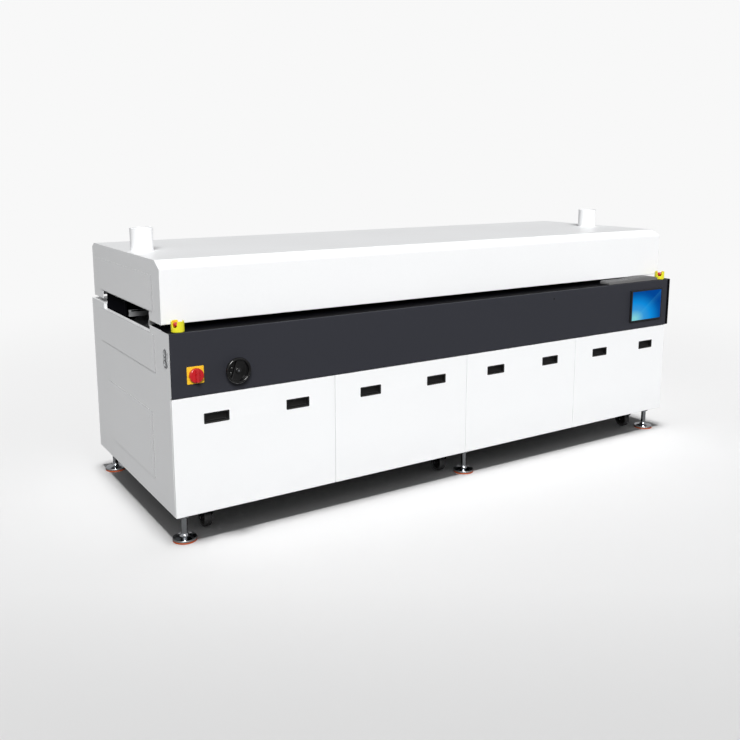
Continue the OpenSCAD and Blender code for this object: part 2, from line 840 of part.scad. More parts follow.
// Rail profile: body, inner shelf for the board's edge and a groove for the chain
module rail_profile(w) {
    difference() {
        square([w, rail_t]);
        translate([w - 8, rail_t - 8]) square([9, 9]);
        translate([-1, 10]) square([7, 12]);
    }
}

module fixed_rail() {
    color("silver") place() {
        along_x(rail_x, case_l - rail_x) translate([rail_front, rail_z]) rail_profile(rail_w);
        for (x = screw_x) translate([x + 30, wall_in, rail_z])
            cube([20, rail_front - wall_in, 20]);
    }
}

module movable_rail() {
    nut_h = rail_z - belt_z - 3;
    color("silver") place() {
        along_x(rail_x, case_l - rail_x) translate([movable_y + rail_w, rail_z])
            mirror([1, 0]) rail_profile(rail_w);
        for (x = screw_x) difference() {
            translate([x - nut_w / 2, movable_y, rail_z - nut_h]) cube([nut_w, rail_w, nut_h]);
            rod_y(movable_y - eps, movable_y + rail_w + eps, screw_d / 2 + run_fit, x, screw_z);
        }
    }
}

module lead_screw(x) {
    color("darkgray") place()
        rod_y(case_y + 8, mouth_end + 6, screw_d / 2, x, screw_z);
}

// Endless belt round both drums
module mesh_belt() {
    r = drum_d / 2 + belt_t;
    color("dimgray") place() along_y(belt_y, belt_y + belt_w) difference() {
        belt_outline(r);
        belt_outline(r - belt_t);
    }
}

module belt_outline(r) {
    for (x = [drum_x, case_l - drum_x]) translate([x, drum_z]) circle(r, $fn = 96);
    translate([drum_x, drum_z - r]) square([case_l - 2 * drum_x, 2 * r]);
}

// Drum: a tube on two drilled discs, with its shaft through the tunnel walls
module drum(x, back) {
    from = belt_y + 4;
    to = belt_y + belt_w - 4;
    r = drum_d / 2 - 0.3;
    wall = 6;
    color("silver") place() {
        difference() {
            rod_y(from, to, r, x, drum_z);
            rod_y(from - eps, to + eps, r - wall, x, drum_z);
        }
        for (y = [from + 30, to - 38]) difference() {
            rod_y(y, y + 8, r - wall / 2, x, drum_z);
            for (a = [0:60:300])
                rod_y(y - eps, y + 8 + eps, 14, x + r * 0.6 * cos(a), drum_z + r * 0.6 * sin(a));
        }
        rod_y(mouth_y - 10, back, drum_shaft_d / 2, x, drum_z);
    }
}

// Gearbox on the exit drum's shaft with its motor hanging below
module belt_motor() {
    y = mouth_end;
    x = case_l - drum_x;
    color("slategray") place() {
        difference() {
            translate([x - gear_w / 2, y, drum_z - gear_w / 2]) cube([gear_w, gear_d, gear_w]);
            rod_y(y - eps, y + gear_d - 4, drum_shaft_d / 2 + run_fit, x, drum_z);
        }
        translate([x, y + gear_d / 2, drum_z - gear_w / 2 - motor_l])
            cylinder(r = motor_d / 2, h = motor_l);
    }
}

// Sheet-metal cabinet for the controls, on the bottom rails behind the last door
module control_cabinet() {
    x = line_x[door_count - 1] + post_w + 60;
    y = cup_d + 6;
    w = 640;
    d = 360;
    h = 460;
    color("lightgray") place() translate([x, y, leg_h + rail_h]) difference() {
        cube([w, d, h]);
        translate([sheet, -eps, sheet]) cube([w - 2 * sheet, d - sheet + eps, h - 2 * sheet]);
    }
}

// Base half of each hood hinge: foot plate, two ears and the pin
module hood_hinge_brackets() {
    ear_x = lug_w / 2 + lug_gap;
    foot_l = 2 * (ear_x + hinge_ear_t) + 12;
    color("dimgray") place() for (x = hinge_x) {
        translate([x - foot_l / 2, hinge_y - hinge_r - 8, ledge_z])
            cube([foot_l, 2 * hinge_r + 18, hinge_foot]);
        for (from = [-ear_x - hinge_ear_t, ear_x]) along_x(x + from, x + from + hinge_ear_t) {
            translate([hinge_y, hinge_z]) circle(hinge_r);
            translate([hinge_y - hinge_r, ledge_z + hinge_foot])
                square([2 * hinge_r, hinge_z - ledge_z - hinge_foot]);
        }
        rod_x(x - ear_x, x + ear_x, hinge_pin_r, hinge_y, hinge_z);
    }
}

// Outline of the hood in y and z, drawn a wall's thickness further in where asked
module hood_outline(in) {
    front_len = norm([front_chamfer_d, front_chamfer_h]);
    rear_len = norm([rear_chamfer_d, rear_chamfer_h]);
    front = hood_y + in;
    rear = hood_end_y - in;
    polygon([
        [front, hood_z - (in > 0 ? eps : 0)],
        [front, hood_top - front_chamfer_h - in * (front_len - front_chamfer_h) / front_chamfer_d],
        [hood_y + front_chamfer_d + in * (front_len - front_chamfer_d) / front_chamfer_h,
            hood_top - in],
        [hood_end_y - rear_chamfer_d - in * (rear_len - rear_chamfer_d) / rear_chamfer_h,
            hood_top - in],
        [rear, hood_top - rear_chamfer_h - in * (rear_len - rear_chamfer_h) / rear_chamfer_d],
        [rear, hood_z - (in > 0 ? eps : 0)]]);
}

// Space inside the hood, above the folded flanges of its lower edges
module hood_hollow() {
    difference() {
        hood_outline(sheet);
        translate([hood_y, hood_z - 2 * eps]) square([hood_flange, sheet + 2 * eps]);
        translate([hood_end_y - hood_flange, hood_z - 2 * eps])
            square([hood_flange, sheet + 2 * eps]);
    }
}

module hood_shell() {
    color("white") place() difference() {
        along_x(sheet, hood_l - sheet) difference() {
            hood_outline(0);
            hood_hollow();
        }
        for (x = stack_x) translate([x, hood_y + stack_y, hood_top - 2 * sheet])
            cylinder(r = stack_d / 2 - stack_wall, h = 3 * sheet);
    }
}

// End plates of the hood with their half of the mouth, and the raised cover on each
module hood_end_plates() {
    color("white") place() for (x = [0, hood_l - sheet]) {
        along_x(x, x + sheet) difference() {
            hood_outline(0);
            translate([mouth_y, hood_z - eps]) square([mouth_w, mouth_high + eps]);
        }
        from = x == 0 ? -cover_t : hood_l;
        cover_plate(from, from + cover_t, hood_y + hood_cover_front,
            hood_end_y - hood_cover_back, hood_z + mouth_high + 5, hood_top - hood_cover_top);
    }
}

// Ribs across the hood that carry the chambers, the lift ribs and the hinge lugs
module hood_ribs() {
    color("gainsboro") place() {
        for (i = [0:zone_count]) {
            x = zone_x + i * zone_pitch;
            along_x(x - rib_t / 2, x + rib_t / 2) intersection() {
                hood_outline(sheet);
                translate([hood_y, upper_top]) square([case_d, hood_h]);
            }
            translate([x - zone_gap / 2 - 20, wall_in + 20, upper_top])
                cube([zone_gap + 40, 20, rib_t]);
        }
        for (x = lift_x) {
            for (side = [-1, 1])
                along_x(x + side * lift_gap - rib_t / 2, x + side * lift_gap + rib_t / 2) {
                    intersection() {
                        hood_outline(sheet);
                        translate([rod_pivot[0] - rod_eye_r - 2, hood_z + sheet])
                            square([case_d, hood_h]);
                    }
                    translate(rod_pivot) circle(tube_eye_r);
                }
            rod_x(x - lift_gap, x + lift_gap, hinge_pin_r, rod_pivot[0], rod_pivot[1]);
        }
        for (x = hinge_x) hinge_lug(x);
    }
}

// Lug behind the hood that turns on the hinge pin
module hinge_lug(x) {
    along_x(x - lug_w / 2, x + lug_w / 2) difference() {
        union() {
            translate([hinge_y, hinge_z]) circle(hinge_r);
            translate([hood_end_y, hinge_z - 4])
                square([hinge_y - hood_end_y, hinge_r + 4]);
        }
        translate([hinge_y, hinge_z]) circle(hinge_pin_r + run_fit);
    }
    along_x(x - lug_w, x + lug_w) translate([hood_end_y, hood_z]) square([4, 96]);
}

module upper_chambers() {
    color("lightgray") place() for (i = [0:zone_count - 1]) {
        x = zone_x + i * zone_pitch + zone_gap / 2;
        chamber(x, upper_z, upper_h, upper_z);
        translate([x + zone_l / 2, wall_in + 380, upper_top]) {
            cylinder(r = blower_d / 2, h = blower_h);
            cylinder(r = blower_d / 3, h = blower_h + 16);
        }
    }
}

module exhaust_stacks() {
    color("white") place() for (x = stack_x) translate([x, hood_y + stack_y, hood_top])
        difference() {
            cylinder(r = stack_d / 2, h = stack_h);
            translate([0, 0, -eps])
                cylinder(r = stack_d / 2 - stack_wall, h = stack_h + 2 * eps);
        }
}

// Draws a hood lift's part along +z from its lower pivot
module lift_axis(x) {
    translate([x, tube_pivot[0], tube_pivot[1]]) rotate([lift_angle - 90, 0, 0]) children();
}

module lift_tubes() {
    color("silver") place() for (x = lift_x) lift_axis(x) difference() {
        union() {
            translate([0, 0, tube_eye_r - 2])
                cylinder(r = lift_d / 2, h = lift_len - tube_eye_r - 2 * rod_eye_r - 2);
            rotate([0, 90, 0]) cylinder(r = tube_eye_r, h = lift_d + 2, center = true);
        }
        rotate([0, 90, 0]) cylinder(r = lift_pin_r + run_fit, h = 4 * lift_gap, center = true);
        translate([0, 0, rod_start - 4]) cylinder(r = lift_rod_r + run_fit, h = lift_len);
    }
}

// Rod with an end eye; the eye's hole is wide, because this pivot closes the linkage
module lift_rods() {
    slack = 6;
    color("lightgray") place() for (x = lift_x) lift_axis(x) difference() {
        union() {
            translate([0, 0, rod_start])
                cylinder(r = lift_rod_r, h = lift_len - rod_start - hinge_pin_r - slack - 1);
            translate([0, 0, lift_len]) rotate([0, 90, 0])
                cylinder(r = rod_eye_r, h = lift_d - 10, center = true);
        }
        translate([0, 0, lift_len]) rotate([0, 90, 0])
            cylinder(r = hinge_pin_r + slack, h = lift_d, center = true);
    }
}

// Levelling foot: pad ring, domed disc, stem and lock nut
module levelling_foot(k) {
    x = foot_x[(k - 1) % 3];
    y = foot_y[floor((k - 1) / 3)];
    ring = 7;
    rim = 9;
    cone = 7;
    flare = 22;
    bell_r = stem_d / 2 + 15;
    nut_h = 13;
    color("silver") place() translate([x, y, 0]) {
        cylinder(r = pad_d / 2 - 2, h = ring);
        translate([0, 0, ring]) rotate_extrude() {
            square([pad_d / 2, rim]);
            polygon([[0, rim], [pad_d / 2 - 3, rim], [bell_r, rim + cone], [0, rim + cone]]);
            difference() {
                translate([0, rim + cone]) square([bell_r, flare]);
                translate([bell_r, rim + cone + flare]) scale([(bell_r - stem_d / 2) / flare, 1])
                    circle(flare);
            }
        }
        translate([0, 0, ring + rim + cone + flare])
            cylinder(r = stem_d / 2,
                h = leg_h + rail_h - tube_wall - 6 - ring - rim - cone - flare);
        translate([0, 0, leg_h - nut_h - 0.3]) cylinder(r = stem_d * 0.88, h = nut_h, $fn = 6);
    }
}

// Stands a castor's part over its swivel, turned to where the wheels rest
module at_castor(k) {
    translate([castor_x[(k - 1) % 3], castor_y[floor((k - 1) / 3)], 0])
        rotate([0, 0, castor_turn]) children();
}

// Swivel fork of a castor with its stud in the frame's plate
module castor_fork(k) {
    top = leg_h - castor_plate;
    axle_z = castor_lift + castor_d / 2;
    race_r = 34;
    race_h = 11.5;
    cheek = 5;
    cheek_y = castor_w / 2 + 1.5;
    crown = 3;
    axle_r = 6;
    color([0.1, 0.1, 0.1]) place() at_castor(k) {
        translate([0, 0, top - 4]) cylinder(r = stud_r, h = castor_plate + 3);
        translate([0, 0, top - race_h - 0.5]) cylinder(r = race_r, h = race_h);
        for (y = [-cheek_y - cheek, cheek_y]) along_y(y, y + cheek) {
            translate([castor_trail, axle_z]) circle(16);
            polygon([[4 - race_r, top - race_h], [race_r, top - race_h],
                [castor_trail + 16, axle_z], [castor_trail - 16, axle_z]]);
        }
        translate([4 - race_r, -cheek_y - cheek, top - race_h - crown])
            cube([2 * race_r - 4, 2 * (cheek_y + cheek), crown]);
        rod_y(-cheek_y - cheek, cheek_y + cheek, axle_r, castor_trail, axle_z);
    }
}

module castor_wheel(k) {
    axle_r = 6 + run_fit;
    edge = 7;
    recess = 4;
    color([0.15, 0.15, 0.15]) place() at_castor(k)
        translate([castor_trail, 0, castor_lift + castor_d / 2]) rotate([90, 0, 0])
            rotate_extrude($fn = 96) difference() {
                translate([axle_r, -castor_w / 2]) square([castor_d / 2 - axle_r, castor_w]);
                for (s = [-1, 1]) translate([castor_d / 2, s * castor_w / 2])
                    rotate(45) square(edge, center = true);
                for (s = [-1, 1]) translate([18, s * castor_w / 2 - recess])
                    square([14, 2 * recess]);
            }
}

base_frame();
frame_beams();
end_panels();
end_covers();
rear_panels();
fascia_panel();
monitor();
monitor_screen();
isolator_base();
isolator_knob();
width_chain_case();
width_handwheel();
estop_guards();
estop_button(stop_x[0]);  // estop_button_entry
estop_button(stop_x[1]);  // estop_button_exit
keyboard();
signal_ports();
front_door(1);  // front_door_1
front_door(2);  // front_door_2
front_door(3);  // front_door_3
front_door(4);  // front_door_4
tunnel_trough();
deck_panels();
mouth_shutters();
lower_chambers();
fixed_rail();
movable_rail();
lead_screw(screw_x[0]);  // lead_screw_entry
lead_screw(screw_x[1]);  // lead_screw_exit
mesh_belt();
drum(case_l - drum_x, mouth_end + gear_d - 10);  // belt_drive_drum
drum(drum_x, mouth_end + 10);  // belt_tail_drum
belt_motor();
control_cabinet();
hood_hinge_brackets();
hood_shell();
hood_end_plates();
hood_ribs();
upper_chambers();
exhaust_stacks();
lift_tubes();
lift_rods();
levelling_foot(1);  // levelling_foot_1
levelling_foot(2);  // levelling_foot_2
levelling_foot(3);  // levelling_foot_3
levelling_foot(4);  // levelling_foot_4
levelling_foot(5);  // levelling_foot_5
levelling_foot(6);  // levelling_foot_6
castor_fork(1);  // castor_fork_1
castor_fork(2);  // castor_fork_2
castor_fork(3);  // castor_fork_3
castor_fork(4);  // castor_fork_4
castor_fork(5);  // castor_fork_5
castor_fork(6);  // castor_fork_6
castor_wheel(1);  // castor_wheel_1
castor_wheel(2);  // castor_wheel_2
castor_wheel(3);  // castor_wheel_3
castor_wheel(4);  // castor_wheel_4
castor_wheel(5);  // castor_wheel_5
castor_wheel(6);  // castor_wheel_6
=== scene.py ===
"""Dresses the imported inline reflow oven: panels, controls, conveyor, feet and studio."""
import math

import bmesh
import bpy
from mathutils import Matrix, Vector


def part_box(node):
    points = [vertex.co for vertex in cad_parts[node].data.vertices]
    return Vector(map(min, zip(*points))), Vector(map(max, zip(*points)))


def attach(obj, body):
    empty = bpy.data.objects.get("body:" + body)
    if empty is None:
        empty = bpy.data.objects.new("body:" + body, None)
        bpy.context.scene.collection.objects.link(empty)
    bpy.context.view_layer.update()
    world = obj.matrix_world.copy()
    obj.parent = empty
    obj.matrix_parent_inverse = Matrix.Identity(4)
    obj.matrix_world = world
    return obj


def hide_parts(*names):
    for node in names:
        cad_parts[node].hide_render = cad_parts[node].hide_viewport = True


bl_info = {
    "name": "Inline reflow oven",
    "version": (1, 0, 0),
    "blender": (4, 5, 0),
    "location": "View3D > Sidebar > Oven",
    "description": "Builds the finished panels, controls and conveyor round the oven's solids",
    "category": "Object",
}

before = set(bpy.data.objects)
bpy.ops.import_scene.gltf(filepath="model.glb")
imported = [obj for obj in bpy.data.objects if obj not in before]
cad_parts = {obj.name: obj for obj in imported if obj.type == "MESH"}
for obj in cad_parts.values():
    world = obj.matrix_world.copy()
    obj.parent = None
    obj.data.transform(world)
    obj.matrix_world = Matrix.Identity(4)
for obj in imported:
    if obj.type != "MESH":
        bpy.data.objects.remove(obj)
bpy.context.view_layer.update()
MM = 0.001


def box(node):
    """Lowest and highest corner of a solid, as vectors."""
    low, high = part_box(node)
    return Vector(low), Vector(high)


FASCIA_LOW, FASCIA_HIGH = box("fascia_panel")
CASE_LEFT = FASCIA_LOW.x
CASE_LOW, CASE_HIGH = box("end_panels")
CASE_RIGHT = CASE_HIGH.x
FRONT = FASCIA_LOW.y
BACK = CASE_HIGH.y
FLOOR = 0.0
CASE_BOTTOM = CASE_LOW.z
DOOR_TOP = FASCIA_LOW.z
LEDGE = FASCIA_HIGH.z
HOOD_LOW, HOOD_HIGH = box("hood_end_plates")
HOOD_SHELL_LOW, HOOD_SHELL_HIGH = box("hood_shell")
DOOR_COUNT = 4
DOOR_PITCH = (FASCIA_HIGH.x - FASCIA_LOW.x) / DOOR_COUNT


def middle_at(node, height):
    """Middle of a solid in plan, at a height."""
    low, high = box(node)
    return Vector(((low.x + high.x) / 2, (low.y + high.y) / 2, height))


def middle_on_front(node):
    """Middle of a solid as seen from the front, on the fascia's face."""
    low, high = box(node)
    return Vector(((low.x + high.x) / 2, FRONT, (low.z + high.z) / 2))


# ---------------------------------------------------------------- settings

def size(name, description, default):
    return bpy.props.FloatProperty(
        name=name, description=description, default=default, min=0.0,
        unit="LENGTH", subtype="DISTANCE", precision=5)


def colour(name, description, red, green, blue):
    return bpy.props.FloatVectorProperty(
        name=name, description=description, size=3, subtype="COLOR", min=0.0, max=1.0,
        default=(linear(red), linear(green), linear(blue)))


def linear(level):
    """Scene value of a display level from 0 to 255."""
    c = level / 255.0
    return c / 12.92 if c <= 0.04045 else ((c + 0.055) / 1.055) ** 2.4


class OvenSizes(bpy.types.PropertyGroup):
    """Sizes of the details that the solids leave out."""

    sheet: size("Sheet", "Thickness of the panels", 2 * MM)
    fold: size("Fold radius", "Inner radius of the folds in the sheet", 2.5 * MM)
    edge: size("Edge", "Width of the softened edges of plates", 0.8 * MM)
    front_chamfer_d: size("Front chamfer depth", "Depth of the hood's front chamfer", 68 * MM)
    front_chamfer_h: size("Front chamfer height", "Height of the hood's front chamfer", 39 * MM)
    rear_chamfer_d: size("Rear chamfer depth", "Depth of the hood's rear chamfer", 43 * MM)
    rear_chamfer_h: size("Rear chamfer height", "Height of the hood's rear chamfer", 22 * MM)
    hood_flange: size("Hood flange", "Width of the folds along the hood's lower edges", 24 * MM)
    handle_w: size("Handle width", "Width of a recessed handle", 134 * MM)
    handle_h: size("Handle height", "Height of a recessed handle", 54 * MM)
    handle_drop: size("Handle drop", "From a door's top edge to its handles", 89 * MM)
    handle_rim: size("Handle rim", "Width of a handle's rim", 6 * MM)
    handle_lip: size("Handle lip", "Height of a handle's rim above the door", 1.5 * MM)
    chain_pitch: size("Chain pitch", "Pitch of the board conveyor's chain", 12.7 * MM)
    belt_pitch: size("Belt pitch", "Pitch of the mesh belt's cross rods", 16 * MM)
    key_pitch: size("Key pitch", "Pitch of the keyboard's keys", 19 * MM)


class OvenColours(bpy.types.PropertyGroup):
    """Colours of the finishes."""

    white: colour("White", "Powder coat of the case and the hood", 241, 242, 243)
    charcoal: colour("Charcoal", "Powder coat of the fascia", 47, 48, 54)
    # Black also stands for shade: the ledge, the deck's front half and the tunnel trough are
    # black as painted shade. The shutters, exit channel and castor bodies are black parts.
    black: colour("Black", "Deck, ledge, tunnel and shutters", 7, 7, 10)
    frame_grey: colour("Frame grey", "Paint of the frame", 190, 192, 194)
    steel: colour("Steel", "Bare steel sheet", 168, 168, 168)
    chrome: colour("Polished steel", "Feet and lift cylinders", 196, 199, 203)
    # The rails' near black is painted shade standing for the dark inside of the tunnel.
    rail_shade: colour("Aluminium", "Black anodised conveyor rails", 22, 22, 24)
    moulding: colour("Moulding", "Black plastic mouldings", 15, 14, 14)
    wheel: colour("Handwheel", "Glossy handwheel", 8, 8, 9)
    gold: colour("Gold yellow", "Isolator plate", 250, 196, 36)
    lime: colour("Lime yellow", "Guards of the emergency stops", 232, 226, 38)
    red: colour("Red", "Isolator knob and emergency stops", 188, 26, 34)
    orange: colour("Orange", "Ring under each foot", 192, 78, 12)
    key_grey: colour("Keyboard grey", "Keyboard", 106, 106, 106)
    tyre: colour("Tyre", "Castor tyres", 22, 22, 23)
    motor: colour("Motor", "Gear motor", 104, 112, 118)
    screen_dark: colour("Screen edge", "Outer blue of the picture on the screen", 0, 68, 146)
    screen_middle: colour("Screen blue", "Blue in the middle of the picture", 12, 136, 214)
    screen_light: colour("Screen glow", "Light blue of the picture on the screen", 130, 205, 210)
    floor: colour("Floor", "Studio floor", 255, 255, 255)
    backdrop: colour("Backdrop", "Studio backdrop", 248, 248, 248)


# ---------------------------------------------------------------- shading

def new_group(name, inputs, outputs):
    """Empty shader node group with float inputs and typed outputs."""
    tree = bpy.data.node_groups.new(name, "ShaderNodeTree")
    for label, default in inputs:
        socket = tree.interface.new_socket(label, in_out="INPUT", socket_type="NodeSocketFloat")
        socket.default_value = default
    for label, kind in outputs:
        tree.interface.new_socket(label, in_out="OUTPUT", socket_type=kind)
    nodes = tree.nodes
    return tree, nodes.new("NodeGroupInput"), nodes.new("NodeGroupOutput")


def add_node(tree, kind, inputs=None, **settings):
    """Adds a node, sets its properties, and sets or links its inputs by name or place."""
    node = tree.nodes.new(kind)
    for key, value in settings.items():
        setattr(node, key, value)
    for key, value in (inputs or {}).items():
        socket = node.inputs[key]
        if isinstance(value, bpy.types.NodeSocket):
            tree.links.new(value, socket)
        else:
            socket.default_value = value
    return node


def ramp(tree, factor, stops):
    """Colour ramp of grey levels or colours at the given places."""
    node = add_node(tree, "ShaderNodeValToRGB", {"Fac": factor})
    elements = node.color_ramp.elements
    while len(elements) < len(stops):
        elements.new(1.0)
    for element, (place, value) in zip(elements, stops):
        element.position = place
        element.color = (value, value, value, 1) if isinstance(value, float) else (*value, 1)
    return node


def mix_colour(tree, factor, first, second, blend="MIX"):
    node = add_node(tree, "ShaderNodeMix", data_type="RGBA", blend_type=blend)
    for socket, value in ((node.inputs[0], factor), (node.inputs[6], first),
                          (node.inputs[7], second)):
        if isinstance(value, bpy.types.NodeSocket):
            tree.links.new(value, socket)
        elif isinstance(value, float):
            socket.default_value = value
        else:
            socket.default_value = (*value, 1)
    return node.outputs[2]


def maths(tree, operation, first, second=0.0):
    return add_node(tree, "ShaderNodeMath", {0: first, 1: second},
                    operation=operation).outputs[0]


def remap(tree, value, start, end, low=0.0, high=1.0, curve="LINEAR"):
    """Carries a value from one range to another."""
    return add_node(tree, "ShaderNodeMapRange",
                    {"Value": value, "From Min": start, "From Max": end, "To Min": low,
                     "To Max": high}, interpolation_type=curve).outputs[0]


def own_place(tree):
    """Place on the piece in its own coordinates."""
    return add_node(tree, "ShaderNodeTexCoord").outputs["Object"]


def noise(tree, place, scale, detail):
    return add_node(tree, "ShaderNodeTexNoise",
                    {"Vector": place, "Scale": scale, "Detail": detail}).outputs["Fac"]


def peel_group():
    """Fine orange peel of powder coat with slow drift in tone."""
    tree, given, out = new_group(
        "powder_coat", [("Peel Size", 900.0), ("Drift Size", 1.6)],
        [("Height", "NodeSocketFloat"), ("Drift", "NodeSocketFloat")])
    place = own_place(tree)
    tree.links.new(noise(tree, place, given.outputs["Peel Size"], 2.0), out.inputs["Height"])
    tree.links.new(noise(tree, place, given.outputs["Drift Size"], 3.0), out.inputs["Drift"])
    return tree


def dust_group():
    """Dust that thickens towards the floor and lies in patches."""
    tree, given, out = new_group(
        "floor_dust", [("Top", 0.35), ("Amount", 0.5)], [("Mask", "NodeSocketFloat")])
    place = own_place(tree)
    height = add_node(tree, "ShaderNodeSeparateXYZ", {0: place}).outputs["Z"]
    rise = remap(tree, height, 0.0, given.outputs["Top"], 1.0, 0.0)
    patches = maths(tree, "MULTIPLY", rise, noise(tree, place, 9.0, 5.0))
    amount = maths(tree, "MULTIPLY", patches, given.outputs["Amount"])
    tree.links.new(amount, out.inputs["Mask"])
    return tree


def grain_group():
    """Rolled or brushed grain: noise drawn out along one axis."""
    tree, given, out = new_group(
        "metal_grain", [("Along X", 6.0), ("Along Y", 600.0), ("Along Z", 600.0)],
        [("Height", "NodeSocketFloat"), ("Tone", "NodeSocketFloat")])
    stretch = add_node(tree, "ShaderNodeCombineXYZ",
                       {i: given.outputs[i] for i in range(3)})
    drawn = add_node(tree, "ShaderNodeVectorMath",
                     {0: own_place(tree), 1: stretch.outputs[0]}, operation="MULTIPLY")
    grain = noise(tree, drawn.outputs[0], 1.0, 4.0)
    tree.links.new(grain, out.inputs["Height"])
    tree.links.new(grain, out.inputs["Tone"])
    return tree


def wear_group():
    """Edges that are rubbed lighter, broken up by noise."""
    tree, given, out = new_group(
        "edge_wear", [("Amount", 0.6), ("Breakup", 60.0)], [("Mask", "NodeSocketFloat")])
    edge = add_node(tree, "ShaderNodeNewGeometry").outputs["Pointiness"]
    band = remap(tree, edge, 0.52, 0.60)
    broken = maths(tree, "MULTIPLY", band,
                   noise(tree, own_place(tree), given.outputs["Breakup"], 4.0))
    amount = maths(tree, "MULTIPLY", broken, given.outputs["Amount"])
    tree.links.new(amount, out.inputs["Mask"])
    return tree


GROUPS = {"peel": peel_group, "dust": dust_group, "grain": grain_group, "wear": wear_group}


def effect(tree, key, **values):
    """Places one of the shared effects in a material with its own values."""
    name = "oven_" + key
    if name not in bpy.data.node_groups:
        GROUPS[key]().name = name
    node = add_node(tree, "ShaderNodeGroup")
    node.node_tree = bpy.data.node_groups[name]
    for label, value in values.items():
        node.inputs[label.replace("_", " ")].default_value = value
    return node


def blank_material(name, roughness, metallic=0.0, coat=0.0):
    """Material with a Principled shader whose constants are set on its own sockets."""
    material = bpy.data.materials.new(name)
    material.use_nodes = True
    tree = material.node_tree
    shader = next(n for n in tree.nodes if n.type == "BSDF_PRINCIPLED")
    shader.inputs["Roughness"].default_value = roughness
    shader.inputs["Metallic"].default_value = metallic
    shader.inputs["Coat Weight"].default_value = coat
    shader.inputs["Coat Roughness"].default_value = 0.12
    return material, tree, shader


def bump(tree, shader, height, strength, distance):
    node = add_node(tree, "ShaderNodeBump",
                    {"Height": height, "Strength": strength, "Distance": distance})
    tree.links.new(node.outputs["Normal"], shader.inputs["Normal"])


def vary_roughness(tree, shader, share, low, high):
    """Lets the roughness drift between two values."""
    tree.links.new(remap(tree, share, 0.0, 1.0, low, high), shader.inputs["Roughness"])


def scaled(value, factor):
    return tuple(min(1.0, c * factor) for c in value)


def paint(name, tone, roughness, peel=0.12, dust=0.25, wear=0.25, shine=0.5, cut=None):
    """Powder coat: orange peel, slow drift in tone, floor dust, rubbed edges, and painted shade
    that darkens the marked side faces of plates to a share of the tone."""
    material, tree, shader = blank_material(name, roughness)
    shader.inputs["Specular IOR Level"].default_value = shine
    coat = effect(tree, "peel")
    bump(tree, shader, coat.outputs["Height"], peel, 0.4 * MM)
    drifted = mix_colour(tree, coat.outputs["Drift"], scaled(tone, 0.98), scaled(tone, 1.015))
    rubbed = mix_colour(tree, effect(tree, "wear", Amount=wear).outputs["Mask"],
                        drifted, scaled(tone, 1.35))
    grey = tuple(0.35 * c + 0.24 for c in tone)
    dusty = mix_colour(tree, effect(tree, "dust", Amount=dust).outputs["Mask"], rubbed, grey)
    # Painted shade: the marked side faces of plates are darkened to a share of the tone.
    if cut:
        sides = add_node(tree, "ShaderNodeAttribute", attribute_name="cut_edge")
        dusty = mix_colour(tree, sides.outputs["Fac"], dusty, scaled(tone, cut))
    tree.links.new(dusty, shader.inputs["Base Color"])
    vary_roughness(tree, shader, coat.outputs["Drift"], roughness - 0.05, roughness + 0.07)
    return material


def metal(name, tone, roughness, axis="x", strength=0.2, tone_range=0.12):
    """Sheet, drawn or polished metal with its grain along one axis."""
    material, tree, shader = blank_material(name, roughness, metallic=1.0)
    across = {"x": (6.0, 500.0, 500.0), "y": (500.0, 6.0, 500.0), "z": (500.0, 500.0, 6.0)}
    grain = effect(tree, "grain", **dict(zip(("Along_X", "Along_Y", "Along_Z"), across[axis])))
    bump(tree, shader, grain.outputs["Height"], strength, 0.1 * MM)
    toned = mix_colour(tree, grain.outputs["Tone"], scaled(tone, 1 - tone_range),
                       scaled(tone, 1 + tone_range))
    tree.links.new(toned, shader.inputs["Base Color"])
    vary_roughness(tree, shader, grain.outputs["Tone"], max(0.04, roughness - 0.08),
                   roughness + 0.08)
    return material


def plastic(name, tone, roughness, texture=0.15, grain=1400.0, coat=0.0):
    """Moulded plastic with a fine spark-eroded skin."""
    material, tree, shader = blank_material(name, roughness, coat=coat)
    skin = effect(tree, "peel", Peel_Size=grain, Drift_Size=14.0)
    bump(tree, shader, skin.outputs["Height"], texture, 0.3 * MM)
    toned = mix_colour(tree, skin.outputs["Drift"], scaled(tone, 0.88), scaled(tone, 1.1))
    rubbed = mix_colour(tree, effect(tree, "wear", Amount=0.35).outputs["Mask"],
                        toned, tuple(0.75 * c + 0.08 for c in tone))
    tree.links.new(rubbed, shader.inputs["Base Color"])
    vary_roughness(tree, shader, skin.outputs["Drift"], max(0.05, roughness - 0.06),
                   roughness + 0.08)
    return material


def blend_of(first, second, share):
    """Colour that lies a share of the way from the first to the second."""
    return tuple((1 - share) * a + share * b for a, b in zip(first, second))


def screen_material(name, dark, middle, light):
    """Lit screen: blue field that brightens to one corner, with a soft sweep of light."""
    material, tree, shader = blank_material(name, 0.25)
    shader.inputs["Specular IOR Level"].default_value = 0.02
    low, high = box("monitor_screen")
    across = add_node(tree, "ShaderNodeSeparateXYZ", {0: own_place(tree)})
    u = remap(tree, across.outputs["X"], low.x, high.x)
    v = remap(tree, across.outputs["Z"], low.z, high.z)
    flat = add_node(tree, "ShaderNodeCombineXYZ", {0: u, 1: v})
    corner = add_node(tree, "ShaderNodeVectorMath",
                      {0: flat.outputs[0], 1: (0.08, 0.05, 0.0)}, operation="DISTANCE")
    glow = ramp(tree, corner.outputs["Value"],
                [(0.0, light), (0.06, light), (0.34, blend_of(light, middle, 0.86)),
                 (0.58, middle), (0.88, blend_of(middle, dark, 0.85)), (1.0, dark)])
    slant = maths(tree, "SUBTRACT", u, v)
    sweep = ramp(tree, slant, [(0.0, 0.0), (0.03, 0.07), (0.14, 0.03), (0.3, 0.0)])
    picture = mix_colour(tree, sweep.outputs["Color"], glow.outputs["Color"],
                         (0.1, 0.7, 0.95))
    tree.links.new(mix_colour(tree, 0.92, picture, (0.0, 0.0, 0.0)),
                   shader.inputs["Base Color"])
    tree.links.new(picture, shader.inputs["Emission Color"])
    shader.inputs["Emission Strength"].default_value = 0.95
    return material


